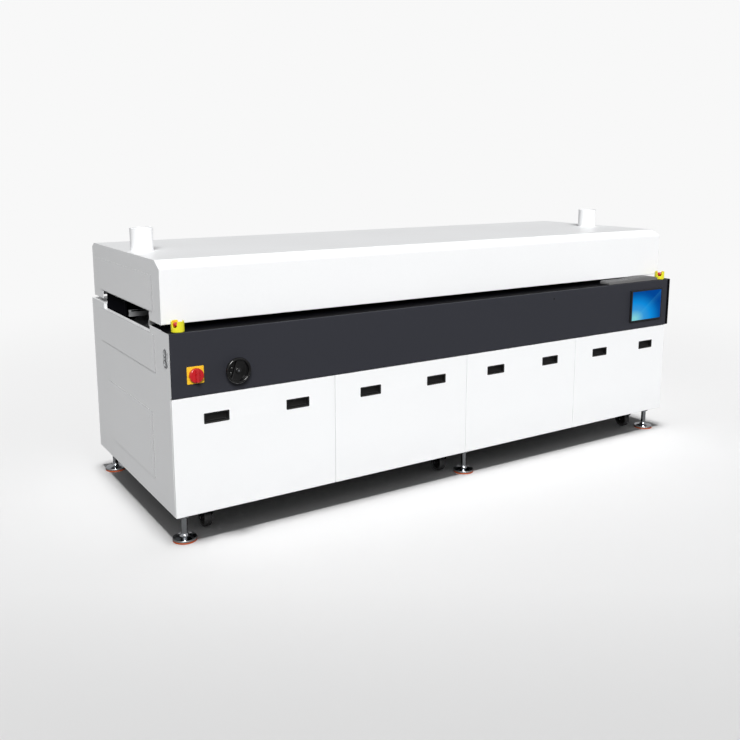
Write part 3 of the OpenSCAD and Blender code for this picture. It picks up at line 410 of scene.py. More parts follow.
def mesh_material(name, tone):
    """Woven stainless wire between the belt's cross rods."""
    material, tree, shader = blank_material(name, 0.38, metallic=1.0)
    place = own_place(tree)
    strands = [add_node(tree, "ShaderNodeTexWave",
                        {"Vector": place, "Scale": scale, "Distortion": 0.0},
                        wave_type="BANDS", bands_direction=axis)
               for axis, scale in (("DIAGONAL", 60.0), ("Y", 50.0))]
    woven = maths(tree, "MULTIPLY", strands[0].outputs["Fac"], strands[1].outputs["Fac"])
    bump(tree, shader, woven, 0.9, 1.5 * MM)
    holes = ramp(tree, woven, [(0.0, scaled(tone, 0.15)), (0.5, tone)])
    tree.links.new(holes.outputs["Color"], shader.inputs["Base Color"])
    return material


def finishes(colours):
    """Every finish of the oven by name, each made once."""
    c = colours
    recipes = {
        "case_white": lambda n: paint(n, c.white, 0.36),
        # Cover plates whose side faces are darkened to a third of the tone, as painted shade of
        # the seam round them.
        "cover_white": lambda n: paint(n, c.white, 0.36, cut=0.33),
        "fascia_charcoal": lambda n: paint(n, c.charcoal, 0.42, peel=0.2, dust=0.1,
                                           shine=0.22),
        # Black paint of real black parts, also used as painted shade on the ledge, the deck's
        # front half and the tunnel trough.
        "deck_black": lambda n: paint(n, c.black, 0.55, peel=0.2, dust=0.1, wear=0.1,
                                      shine=0.02),
        "frame_grey": lambda n: paint(n, c.frame_grey, 0.45),
        "sheet_steel": lambda n: metal(n, c.steel, 0.38),
        "drawn_steel": lambda n: metal(n, c.steel, 0.3, axis="y"),
        "polished_steel": lambda n: metal(n, c.chrome, 0.1, axis="z", strength=0.04,
                                          tone_range=0.04),
        "rim_steel": lambda n: metal(n, c.steel, 0.42, axis="z", strength=0.1),
        # Near-black rails: painted shade of the tunnel's inside.
        "rail_aluminium": lambda n: paint(n, c.rail_shade, 0.45, dust=0.0, wear=0.1,
                                          shine=0.2),
        "chain_steel": lambda n: metal(n, scaled(c.steel, 0.15), 0.4),
        "black_moulding": lambda n: plastic(n, c.moulding, 0.42, texture=0.3),
        "cup_grey": lambda n: plastic(n, scaled(c.moulding, 3.2), 0.5, texture=0.3),
        "glossy_black": lambda n: plastic(n, c.wheel, 0.16, texture=0.03, coat=0.15),
        "gold_yellow": lambda n: plastic(n, c.gold, 0.32, coat=0.2),
        "lime_yellow": lambda n: plastic(n, c.lime, 0.3, coat=0.25),
        "signal_red": lambda n: plastic(n, c.red, 0.26, coat=0.3),
        "orange_rubber": lambda n: plastic(n, c.orange, 0.6, texture=0.4, grain=700.0),
        "keyboard_grey": lambda n: plastic(n, c.key_grey, 0.5, texture=0.3),
        "castor_tyre": lambda n: plastic(n, c.tyre, 0.6, texture=0.4, grain=500.0),
        "motor_paint": lambda n: paint(n, c.motor, 0.4),
        "screen_picture": lambda n: screen_material(
            n, tuple(c.screen_dark), tuple(c.screen_middle), tuple(c.screen_light)),
        "belt_mesh": lambda n: mesh_material(n, scaled(c.chrome, 0.22)),
    }
    return recipes


def finish(name):
    """The named finish, made when it is first asked for."""
    found = bpy.data.materials.get(name)
    if found is None:
        found = finishes(bpy.context.scene.oven_colours)[name](name)
    return found


# ---------------------------------------------------------------- meshes

def shade(mesh):
    """Soft shading with sharp edges where faces meet at a clear angle."""
    for face in mesh.polygons:
        face.use_smooth = True
    mesh.set_sharp_from_angle(angle=math.radians(38))


def show(name, data):
    """Puts data in the scene as an object at the origin."""
    thing = bpy.data.objects.new(name, data)
    bpy.context.scene.collection.objects.link(thing)
    return thing


def mesh_from(name, bm):
    """Plain mesh of a bmesh, which is freed."""
    mesh = bpy.data.meshes.new(name)
    bm.to_mesh(mesh)
    bm.free()
    return mesh


def made_mesh(thing):
    """New mesh of what an object's modifiers make of it."""
    graph = bpy.context.evaluated_depsgraph_get()
    graph.update()
    return bpy.data.meshes.new_from_object(thing.evaluated_get(graph))


def as_object(name, mesh, material):
    """Shown object at the origin with softly shaded faces and one finish."""
    shade(mesh)
    mesh.materials.clear()
    mesh.materials.append(finish(material))
    return show(name, mesh)


def piece_from(name, bm, material, body, replaces=()):
    """Turns a bmesh into a finished piece that rides on a body."""
    bmesh.ops.remove_doubles(bm, verts=bm.verts, dist=1e-7)
    bmesh.ops.recalc_face_normals(bm, faces=bm.faces)
    piece = as_object(name, mesh_from(name, bm), material)
    even_shading(piece)
    settle(piece, body, replaces)
    return piece


def settle(piece, body, replaces=()):
    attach(piece, body)
    for node in replaces:
        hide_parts(node)


def loft(bm, loops, closed=False):
    """Skins a row of loops with the same number of points, capped unless it is a ring."""
    rings = [[bm.verts.new(p) for p in loop] for loop in loops]
    count = len(rings[0])
    spans = list(zip(rings, rings[1:])) + ([(rings[-1], rings[0])] if closed else [])
    for low, high in spans:
        for i in range(count):
            k = (i + 1) % count
            bm.faces.new((low[i], low[k], high[k], high[i]))
    if not closed:
        bm.faces.new(list(reversed(rings[0])))
        bm.faces.new(rings[-1])


def extrude_x(bm, outline, x0, x1):
    """Closed outline in (y, z) drawn out along x."""
    loft(bm, [[(x, y, z) for y, z in outline] for x in (x0, x1)])


def extrude_y(bm, outline, y0, y1):
    """Closed outline in (x, z) drawn out along y."""
    loft(bm, [[(x, y, z) for x, z in outline] for y in (y0, y1)])


def rounded_rect(cx, cy, w, h, r, steps=4):
    """Outline of a rectangle with round corners, anticlockwise."""
    points = []
    for k, (sx, sy) in enumerate(((1, 1), (-1, 1), (-1, -1), (1, -1))):
        for i in range(steps + 1):
            a = math.pi / 2 * (k + i / steps)
            points.append((cx + sx * (w / 2 - r) + r * math.cos(a),
                           cy + sy * (h / 2 - r) + r * math.sin(a)))
    return points


def rounded_rows(bm, x, z, rows, steps=4):
    """Lofts rounded rectangles, each a width, height, place on y and radius in mm."""
    loft(bm, [[(px, y, pz) for px, pz in rounded_rect(x, z, w, h, r * MM, steps)]
              for w, h, y, r in rows])


def rounded_box(bm, low, high, r, steps=2):
    """Box with all of its edges softened."""
    made = bmesh.ops.create_cube(bm, size=1.0)["verts"]
    low, high = Vector(low), Vector(high)
    for v in made:
        v.co = Vector(((low[i] + high[i]) / 2 + v.co[i] * (high[i] - low[i])
                       for i in range(3)))
    edges = list({e for v in made for e in v.link_edges})
    bmesh.ops.bevel(bm, geom=edges, offset=r, segments=steps, profile=0.6, affect="EDGES")


def lathe(bm, profile, centre, axis="z", steps=48):
    """Turns a closed (radius, height) profile round an axis through centre."""
    turn = {"z": Matrix.Identity(3), "y": Matrix.Rotation(math.pi / 2, 3, "X"),
            "x": Matrix.Rotation(math.pi / 2, 3, "Y")}[axis]
    centre = Vector(centre)
    rows = []
    for r, h in profile:
        if r < 1e-9:
            pole = bm.verts.new(centre + turn @ Vector((0, 0, h)))
            rows.append([pole] * steps)
            continue
        rows.append([bm.verts.new(centre + turn @ Vector(
            (r * math.cos(2 * math.pi * i / steps), r * math.sin(2 * math.pi * i / steps), h)))
            for i in range(steps)])
    count = len(rows)
    for n in range(count):
        low, high = rows[n], rows[(n + 1) % count]
        for i in range(steps):
            k = (i + 1) % steps
            corners = []
            for v in (low[i], low[k], high[k], high[i]):
                if v not in corners:
                    corners.append(v)
            if len(corners) > 2:
                bm.faces.new(corners)


def turned_piece(name, profile, centre, steps, material, body, replaces=(),
                 axis="z"):
    """Piece turned from one profile."""
    bm = bmesh.new()
    lathe(bm, profile, centre, axis, steps)
    return piece_from(name, bm, material, body, replaces)


def bend(corner, before, after, cut, steps):
    """Points of a soft bend that starts and ends a cut away from a corner."""
    start = corner + before.normalized() * cut
    end = corner + after.normalized() * cut
    return [tuple(start * (1 - t) ** 2 + corner * 2 * t * (1 - t) + end * t * t)
            for t in (k / steps for k in range(steps + 1))]


def soft_profile(points, r, steps=3):
    """Rounds the corners of a closed outline; a point may carry its own radius."""
    out = []
    count = len(points)
    for i, point in enumerate(points):
        radius = point[2] if len(point) > 2 else r
        p = Vector(point[:2])
        before = Vector(points[i - 1][:2]) - p
        after = Vector(points[(i + 1) % count][:2]) - p
        if radius <= 0 or before.length < 1e-9 or after.length < 1e-9:
            out.append(tuple(p))
            continue
        half = before.angle(after) / 2
        cut = min(radius / math.tan(half), 0.45 * before.length, 0.45 * after.length)
        out += bend(p, before, after, cut, steps)
    return out


def sheet_section(line, thickness, radius, steps=4):
    """Outline of a folded sheet whose outer face follows an open line; the sheet lies
    on the line's left."""
    points = [Vector(p) for p in line]
    normals = []
    for a, b in zip(points, points[1:]):
        d = (b - a).normalized()
        normals.append(Vector((-d.y, d.x)))

    def shifted(depth):
        row = [points[0] + normals[0] * depth]
        for i in range(1, len(points) - 1):
            n0, n1 = normals[i - 1], normals[i]
            row.append(points[i] + (n0 + n1) * (depth / (1 + n0.dot(n1))))
        row.append(points[-1] + normals[-1] * depth)
        return row

    def rounded(row, side):
        out = [tuple(row[0])]
        for i in range(1, len(row) - 1):
            before, after = row[i - 1] - row[i], row[i + 1] - row[i]
            turn = (row[i] - row[i - 1]).to_3d().cross((row[i + 1] - row[i]).to_3d()).z
            r = radius + (thickness if (turn > 0) == side else 0)
            half = before.angle(after) / 2
            if abs(half - math.pi / 2) < 1e-4:
                out.append(tuple(row[i]))
                continue
            out += bend(row[i], before, after, r / math.tan(half), steps)
        out.append(tuple(row[-1]))
        return out

    return rounded(shifted(0), True) + list(reversed(rounded(shifted(thickness), False)))


def cut_with(piece, cutters):
    """Cuts closed shapes out of a piece and keeps the result as a plain mesh."""
    name = piece.name
    bmesh.ops.recalc_face_normals(cutters, faces=cutters.faces)
    helper_mesh = mesh_from(name + "_cut", cutters)
    helper = show(name + "_cut", helper_mesh)
    modifier = piece.modifiers.new("cut", "BOOLEAN")
    modifier.operation = "DIFFERENCE"
    modifier.solver = "EXACT"
    modifier.object = helper
    bake_modifiers(piece)
    shade(piece.data)
    even_shading(piece)
    bpy.data.objects.remove(helper)
    bpy.data.meshes.remove(helper_mesh)


def bake_modifiers(piece):
    """Replaces a piece's mesh by what its modifiers make of it, and removes them."""
    made = made_mesh(piece)
    piece.modifiers.clear()
    old = piece.data
    piece.data = made
    made.name = piece.name
    bpy.data.meshes.remove(old)


def even_shading(piece):
    """Shades flat faces evenly right up to their rounded edges."""
    modifier = piece.modifiers.new("even", "WEIGHTED_NORMAL")
    modifier.weight = 100
    modifier.keep_sharp = True
    bake_modifiers(piece)


def soften(piece, width):
    """Rounds the sharp edges of a finished mesh."""
    modifier = piece.modifiers.new("edge", "BEVEL")
    modifier.width = width
    modifier.segments = 2
    modifier.limit_method = "ANGLE"
    modifier.angle_limit = math.radians(40)
    bake_modifiers(piece)
    even_shading(piece)


def softened_copy(node, name, material, body, width, kept=None):
    """Copy of a solid, or of its kept part, with merged faces and softened edges."""
    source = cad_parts[node]
    bm = bmesh.new()
    bm.from_mesh(source.data)
    bm.transform(source.matrix_world)
    if kept:
        bmesh.ops.delete(bm, geom=[v for v in bm.verts if not kept(v.co)], context="VERTS")
    bmesh.ops.remove_doubles(bm, verts=bm.verts, dist=1e-6)
    bmesh.ops.dissolve_limit(bm, angle_limit=math.radians(0.5), verts=bm.verts,
                             edges=bm.edges)
    piece = as_object(name, mesh_from(name, bm), material)
    soften(piece, width)
    settle(piece, body, (node,))
    return piece


def mark_shaded_edges(piece):
    """Marks the side faces of the plates on both ends of a piece, which its finish darkens as
    painted shade of the seam round each plate.
    """
    mesh = piece.data
    places = [v.co.x for v in mesh.vertices]
    low, high = min(places), max(places)
    plate = 3.1 * MM
    marks = mesh.attributes.new("cut_edge", "FLOAT", "FACE")
    for face in mesh.polygons:
        outside = min(face.center.x - low, high - face.center.x) < plate
        marks.data[face.index].value = float(outside and abs(face.normal.x) < 0.9)


# ---------------------------------------------------------------- repeats

def geometry_tree(name, inputs=()):
    """Geometry tree with its template and finish as inputs, beside other named ones."""
    tree = bpy.data.node_groups.new(name, "GeometryNodeTree")
    for label, kind in (("Geometry", "NodeSocketGeometry"), ("Template", "NodeSocketObject"),
                        ("Material", "NodeSocketMaterial"), *inputs):
        tree.interface.new_socket(label, in_out="INPUT", socket_type=kind)
    tree.interface.new_socket("Geometry", in_out="OUTPUT", socket_type="NodeSocketGeometry")
    return tree, tree.nodes.new("NodeGroupInput"), tree.nodes.new("NodeGroupOutput")


def set_template(tree, given, out, points, turn=None):
    """Ends a tree: sets its template on the points, as plain faces with their finish."""
    template = add_node(tree, "GeometryNodeObjectInfo", {"Object": given.outputs["Template"]},
                        transform_space="ORIGINAL")
    wanted = {"Points": points, "Instance": template.outputs["Geometry"]}
    if turn is not None:
        wanted["Rotation"] = turn
    instances = add_node(tree, "GeometryNodeInstanceOnPoints", wanted)
    plain = add_node(tree, "GeometryNodeRealizeInstances", {"Geometry": instances.outputs[0]})
    dressed = add_node(tree, "GeometryNodeSetMaterial",
                       {"Geometry": plain.outputs[0], "Material": given.outputs["Material"]})
    tree.links.new(dressed.outputs[0], out.inputs["Geometry"])


def points_tree():
    """Sets a template on every point, its z axis along the point's stored direction."""
    tree, given, out = geometry_tree("set_on_points")
    facing = add_node(tree, "GeometryNodeInputNamedAttribute", {"Name": "facing"},
                      data_type="FLOAT_VECTOR")
    turn = add_node(tree, "FunctionNodeAlignRotationToVector",
                    {"Vector": facing.outputs[0]}, axis="Z")
    points = add_node(tree, "GeometryNodeMeshToPoints", {"Mesh": given.outputs["Geometry"]})
    set_template(tree, given, out, points.outputs[0], turn.outputs[0])
    return tree


def grid_tree():
    """Sets a template on a regular grid in x and y, a pitch apart, from a corner."""
    tree, given, out = geometry_tree(
        "set_on_grid", [("Pitch X", "NodeSocketFloat"), ("Pitch Y", "NodeSocketFloat"),
                        ("Count X", "NodeSocketInt"), ("Count Y", "NodeSocketInt"),
                        ("Corner", "NodeSocketVector")])
    index = add_node(tree, "GeometryNodeInputIndex").outputs[0]
    total = maths(tree, "MULTIPLY", given.outputs["Count X"], given.outputs["Count Y"])
    points = add_node(tree, "GeometryNodeMeshLine", {"Count": total}, mode="OFFSET")
    column = maths(tree, "MODULO", index, given.outputs["Count X"])
    row = maths(tree, "FLOOR", maths(tree, "DIVIDE", index, given.outputs["Count X"]))
    place = add_node(tree, "ShaderNodeCombineXYZ",
                     {0: maths(tree, "MULTIPLY", column, given.outputs["Pitch X"]),
                      1: maths(tree, "MULTIPLY", row, given.outputs["Pitch Y"])})
    shifted = add_node(tree, "ShaderNodeVectorMath",
                       {0: place.outputs[0], 1: given.outputs["Corner"]}, operation="ADD")
    placed = add_node(tree, "GeometryNodeSetPosition",
                      {"Geometry": points.outputs[0], "Position": shifted.outputs[0]})
    set_template(tree, given, out, placed.outputs[0])
    return tree


def path_tree():
    """Sets a template along a closed path of edges at a steady pitch, turned with it."""
    tree, given, out = geometry_tree("set_on_path", [("Pitch", "NodeSocketFloat")])
    curve = add_node(tree, "GeometryNodeMeshToCurve", {"Mesh": given.outputs["Geometry"]})
    even = add_node(tree, "GeometryNodeResampleCurve",
                    {"Curve": curve.outputs[0], "Length": given.outputs["Pitch"]},
                    mode="LENGTH")
    tangent = add_node(tree, "GeometryNodeInputTangent").outputs[0]
    turn = add_node(tree, "FunctionNodeAlignRotationToVector", {"Vector": tangent}, axis="X",
                    pivot_axis="Y")
    set_template(tree, given, out, even.outputs[0], turn.outputs[0])
    return tree


TREES = {"points": points_tree, "grid": grid_tree, "path": path_tree}


def repeat(name, kind, base, template, material, values=None):
    """Runs one of the trees on a base mesh and returns the result as a plain mesh."""
    tree_name = "oven_repeat_" + kind
    if tree_name not in bpy.data.node_groups:
        TREES[kind]().name = tree_name
    tree = bpy.data.node_groups[tree_name]
    holder = show(name + "_base", base)
    modifier = holder.modifiers.new("repeat", "NODES")
    modifier.node_group = tree
    wanted = {"Template": template, "Material": finish(material), **(values or {})}
    for item in tree.interface.items_tree:
        if item.in_out == "INPUT" and item.name in wanted:
            modifier[item.identifier] = wanted[item.name]
    mesh = made_mesh(holder)
    holder.modifiers.clear()
    bpy.data.objects.remove(holder)
    if not mesh.polygons:
        raise RuntimeError(name + " came out empty")
    mesh.name = name
    return as_object(name, mesh, material)


def template_of(name, build, material):
    """Small mesh that a tree repeats; it is taken away again by drop()."""
    bm = bmesh.new()
    build(bm)
    bmesh.ops.recalc_face_normals(bm, faces=bm.faces)
    mesh = mesh_from(name, bm)
    mesh.materials.append(finish(material))
    return show(name, mesh)


def drop(*things):
    for thing in things:
        bpy.data.objects.remove(thing)


def one_point(name):
    """Base of a grid, which makes its own points."""
    mesh = bpy.data.meshes.new(name)
    mesh.from_pydata([(0, 0, 0)], [], [])
    return mesh


def points_mesh(name, places):
    """Loose points with a stored direction each."""
    mesh = bpy.data.meshes.new(name)
    mesh.from_pydata([p for p, _ in places], [], [])
    facing = mesh.attributes.new("facing", "FLOAT_VECTOR", "POINT")
    for item, (_, direction) in zip(facing.data, places):
        item.vector = direction
    return mesh


def screw_head(bm, r=4.5 * MM, rise=2.2 * MM):
    """Button head with a six-sided socket."""
    lathe(bm, [(0, 0), (r, 0), (r, rise * 0.35), (r * 0.8, rise * 0.85), (r * 0.55, rise),
               (r * 0.5, rise), (r * 0.5, rise * 0.4), (0, rise * 0.4)],
          (0, 0, 0), steps=12)


# ---------------------------------------------------------------- operators

class OvenPieces:
    """What the oven's operators share."""

    bl_options = {"REGISTER", "UNDO"}

    def execute(self, context):
        self.build(context.scene.oven_sizes)
        return {"FINISHED"}


class OVEN_OT_doors(OvenPieces, bpy.types.Operator):
    """Folded front doors with their black recessed handles"""

    bl_idname = "oven.doors"
    bl_label = "Front doors"

    def build(self, s):
        door_t = 16 * MM
        inner = s.sheet
        for k in range(1, DOOR_COUNT + 1):
            node = f"front_door_{k}"
            low, high = box(node)
            bm = bmesh.new()
            rounded_box(bm, (low.x, FRONT, low.z), (high.x, FRONT + door_t, high.z),
                        3 * MM, 4)
            skin = piece_from(f"door_skin_{k}", bm, "case_white", node,
                              (node,))
            cut = bmesh.new()
            rounded_box(cut, (low.x + inner, FRONT + inner, low.z + inner),
                        (high.x - inner, FRONT + 2 * door_t, high.z - inner), 1 * MM, 2)
            cut_with(skin, cut)
            cut = bmesh.new()
            middles = self.handle_middles(k)
            z = high.z - s.handle_drop - s.handle_h / 2
            for x in middles:
                extrude_y(cut, rounded_rect(x, z, s.handle_w - 2 * s.handle_rim + 1 * MM,
                                            s.handle_h - 2 * s.handle_rim + 1 * MM, 4 * MM),
                          FRONT - door_t, FRONT + door_t)
            cut_with(skin, cut)
            for n, x in enumerate(middles):
                self.handle(s, x, z, f"door_handle_{k}_{n + 1}", node)

    def handle_middles(self, k):
        return [CASE_LEFT + (k - 1 + share) * DOOR_PITCH for share in (0.25, 0.75)]

    def handle(self, s, x, z, name, body):
        """Rim, sloped cup and finger lip as one closed moulding."""
        deep = box(body)[1].y - 0.2 * MM
        w, h, rim = s.handle_w, s.handle_h, s.handle_rim
        wall = 2 * MM
        rows = [(w - 2 * rim, h - 2 * rim, deep, 3), (w - 2 * rim, h - 2 * rim, FRONT, 3),
                (w - 0.4 * MM, h - 0.4 * MM, FRONT - 0.1 * MM, 5),
                (w - 0.4 * MM, h - 0.4 * MM, FRONT - 0.9 * MM, 5),
                (w - 2 * MM, h - 2 * MM, FRONT - s.handle_lip, 4.5),
                (w - 1.5 * rim, h - 1.5 * rim, FRONT - s.handle_lip, 3.5),
                (w - 2 * rim - 2 * wall, h - 2 * rim - 2 * wall, FRONT + 1 * MM, 3),
                (w - 2 * rim - 3 * wall, h - 2 * rim - 3 * wall, deep - 2 * wall, 3),
                (w - 2 * rim - 6 * wall, h - 2 * rim - 6 * wall, deep - wall, 3)]
        bm = bmesh.new()
        rounded_rows(bm, x, z, rows)
        piece_from(name, bm, "black_moulding", body)


class OVEN_OT_fascia(OvenPieces, bpy.types.Operator):
    """Folded dark fascia, its ledge in black as painted shade under the hood, cut-outs and the
    black channel at its exit end
    """

    bl_idname = "oven.fascia"
    bl_label = "Fascia"

    def build(self, s):
        seam = 0.3 * MM
        joint = FRONT + 7 * MM
        line = [(FRONT + 18 * MM, DOOR_TOP), (FRONT, DOOR_TOP), (FRONT, LEDGE), (joint, LEDGE)]
        outline = sheet_section([(y, z) for y, z in reversed(line)], s.sheet, s.fold)
        bm = bmesh.new()
        extrude_x(bm, outline, CASE_LEFT, CASE_RIGHT - seam)
        panel = piece_from("fascia_sheet", bm, "fascia_charcoal", "base",
                           ("fascia_panel",))
        # Separate black ledge: painted shade standing for the hood's shadow on the ledge.
        bm = bmesh.new()
        rounded_box(bm, (CASE_LEFT, joint + 0.2 * MM, LEDGE - s.sheet),
                    (CASE_RIGHT - seam, FASCIA_HIGH.y, LEDGE), 0.4 * MM)
        ledge = piece_from("fascia_ledge", bm, "deck_black", "base")
        cut = bmesh.new()
        for node in ("estop_button_entry", "estop_button_exit"):
            lathe(cut, [(0, -0.01), (12 * MM, -0.01), (12 * MM, 0.01), (0, 0.01)],
                  middle_at(node, LEDGE), "z", 32)
        cut_with(ledge, cut)
        cut = bmesh.new()
        low, high = box("monitor")
        margin = 6 * MM
        rounded_box(cut, (low.x + margin, FRONT - 0.05, low.z + margin),
                    (high.x - margin, FRONT + 8 * MM, high.z - margin), 1 * MM)
        for node, r in (("isolator_knob", 7 * MM), ("width_handwheel", 9 * MM)):
            lathe(cut, [(0, -0.05), (r, -0.05), (r, 0.008), (0, 0.008)],
                  middle_on_front(node), "y", 32)
        cut_with(panel, cut)
        strip_line = [(FASCIA_HIGH.y, LEDGE), (FRONT + s.sheet, LEDGE),
                      (FRONT + s.sheet, DOOR_TOP), (FASCIA_HIGH.y, DOOR_TOP)]
        bm = bmesh.new()
        extrude_x(bm, sheet_section(strip_line, s.sheet, s.fold), CASE_RIGHT,
                  FASCIA_HIGH.x)
        piece_from("fascia_strip", bm, "deck_black", "base")
        lamp_along, lamp_drop = 2491 * MM, 46 * MM
        turned_piece("fascia_lamp", [(0, 0), (5 * MM, 0), (5 * MM, 1.0 * MM),
                                     (4 * MM, 1.8 * MM), (0, 2.2 * MM)],
                     (CASE_LEFT + lamp_along, FRONT, LEDGE - lamp_drop), 24,
                     "glossy_black", "base", axis="y")


class OVEN_OT_hood(OvenPieces, bpy.types.Operator):
    """Hood shell folded from sheet, with the holes under its spigots"""

    bl_idname = "oven.hood"
    bl_label = "Hood"

    def outline(self, s):
        """Outer line of the hood in (y, z), from the front flange round to the rear one."""
        low, high = HOOD_SHELL_LOW, HOOD_SHELL_HIGH
        return [(low.y + s.hood_flange, low.z), (low.y, low.z),
                (low.y, high.z - s.front_chamfer_h), (low.y + s.front_chamfer_d, high.z),
                (high.y - s.rear_chamfer_d, high.z), (high.y, high.z - s.rear_chamfer_h),
                (high.y, low.z), (high.y - s.hood_flange, low.z)]

    def build(self, s):
        line = list(reversed(self.outline(s)))
        bm = bmesh.new()
        extrude_x(bm, sheet_section(line, s.sheet, s.fold, 5), HOOD_SHELL_LOW.x,
                  HOOD_SHELL_HIGH.x)
        shell = piece_from("hood_sheet", bm, "case_white", "hood",
                           ("hood_shell",))
        cut = bmesh.new()
        bore = 59.5 * MM
        for x, y in self.spigots():
            lathe(cut, [(0, -0.02), (bore, -0.02), (bore, 0.02), (0, 0.02)],
                  (x, y, HOOD_SHELL_HIGH.z), "z", 64)
        cut_with(shell, cut)

    def spigots(self):
        low, high = box("exhaust_stacks")
        r = (high.y - low.y) / 2
        return [(low.x + r, low.y + r), (high.x - r, low.y + r)]


class OVEN_OT_stacks(OvenPieces, bpy.types.Operator):
    """Round exhaust spigots with a rolled rim and a weld bead"""

    bl_idname = "oven.stacks"
    bl_label = "Exhaust spigots"

    def build(self, s):
        low, high = box("exhaust_stacks")
        r = (high.y - low.y) / 2
        h = high.z - low.z
        wall = 2 * MM
        for name, x in (("entry", low.x + r), ("exit", high.x - r)):
            profile = [(r - wall, 0), (r, 0), (r - 0.3 * MM, 2 * MM), (r - 1.2 * MM, 4 * MM),
                       (r - 1.2 * MM, h - 9 * MM), (r, h - 6 * MM), (r, h - 2.5 * MM),
                       (r - 0.6 * MM, h - 0.6 * MM), (r - 2 * MM, h),
                       (r - wall - 1.6 * MM, h - 0.6 * MM), (r - wall - 1.6 * MM, h - 6 * MM),
                       (r - wall - 1.2 * MM, h - 9 * MM), (r - wall - 1.2 * MM, 4 * MM)]
            replaced = ("exhaust_stacks",) if name == "entry" else ()
            turned_piece(f"spigot_{name}", profile, (x, low.y + r, low.z), 72, "case_white",
                         "hood", replaced)


class OVEN_OT_panels(OvenPieces, bpy.types.Operator):
    """End panels, covers, rear panels, hood ends, cabinet, monitor bezel, gear motor, chain case,
    hinge brackets and deck with softened edges
    """

    bl_idname = "oven.panels"
    bl_label = "Panels and frame"

    def build(self, s):
        for node, name, material, body, slot, width in (
                ("end_panels", "end_sheets", "case_white", "base", "white_paint", 0.5),
                ("end_covers", "end_cover_plates", "cover_white", "base", "white_paint", 0.8),
                ("rear_panels", "rear_sheets", "case_white", "base", "white_paint", 0.5),
                ("hood_end_plates", "hood_ends", "cover_white", "hood", "white_paint", 0.5),
                ("control_cabinet", "cabinet", "frame_grey", "base", "frame_paint", 0.6),
                ("monitor", "monitor_bezel", "black_moulding", "base", "black_plastic", 1.6),
                ("belt_motor", "gear_motor", "motor_paint", "base", "motor_paint", 2.0),
                ("width_chain_case", "chain_case", "sheet_steel", "base", "steel", 1.0),
                ("hood_hinge_brackets", "hinge_brackets", "sheet_steel", "base", "steel",
                 0.6)):
            piece = softened_copy(node, name, material, body, width * MM)
            # Painted shade on the side faces of the cover plates.
            if material == "cover_white":
                mark_shaded_edges(piece)
        low, high = box("deck_panels")
        middle = (low.y + high.y) / 2
        # Front half of the deck in black as painted shade of the recess under the hood; the rear
        # half is white.
        softened_copy("deck_panels", "deck_front", "deck_black", "base",
                      0.4 * MM, lambda p: p.y < middle)
        softened_copy("deck_panels", "deck_rear", "case_white", "base",
                      0.4 * MM, lambda p: p.y > middle)


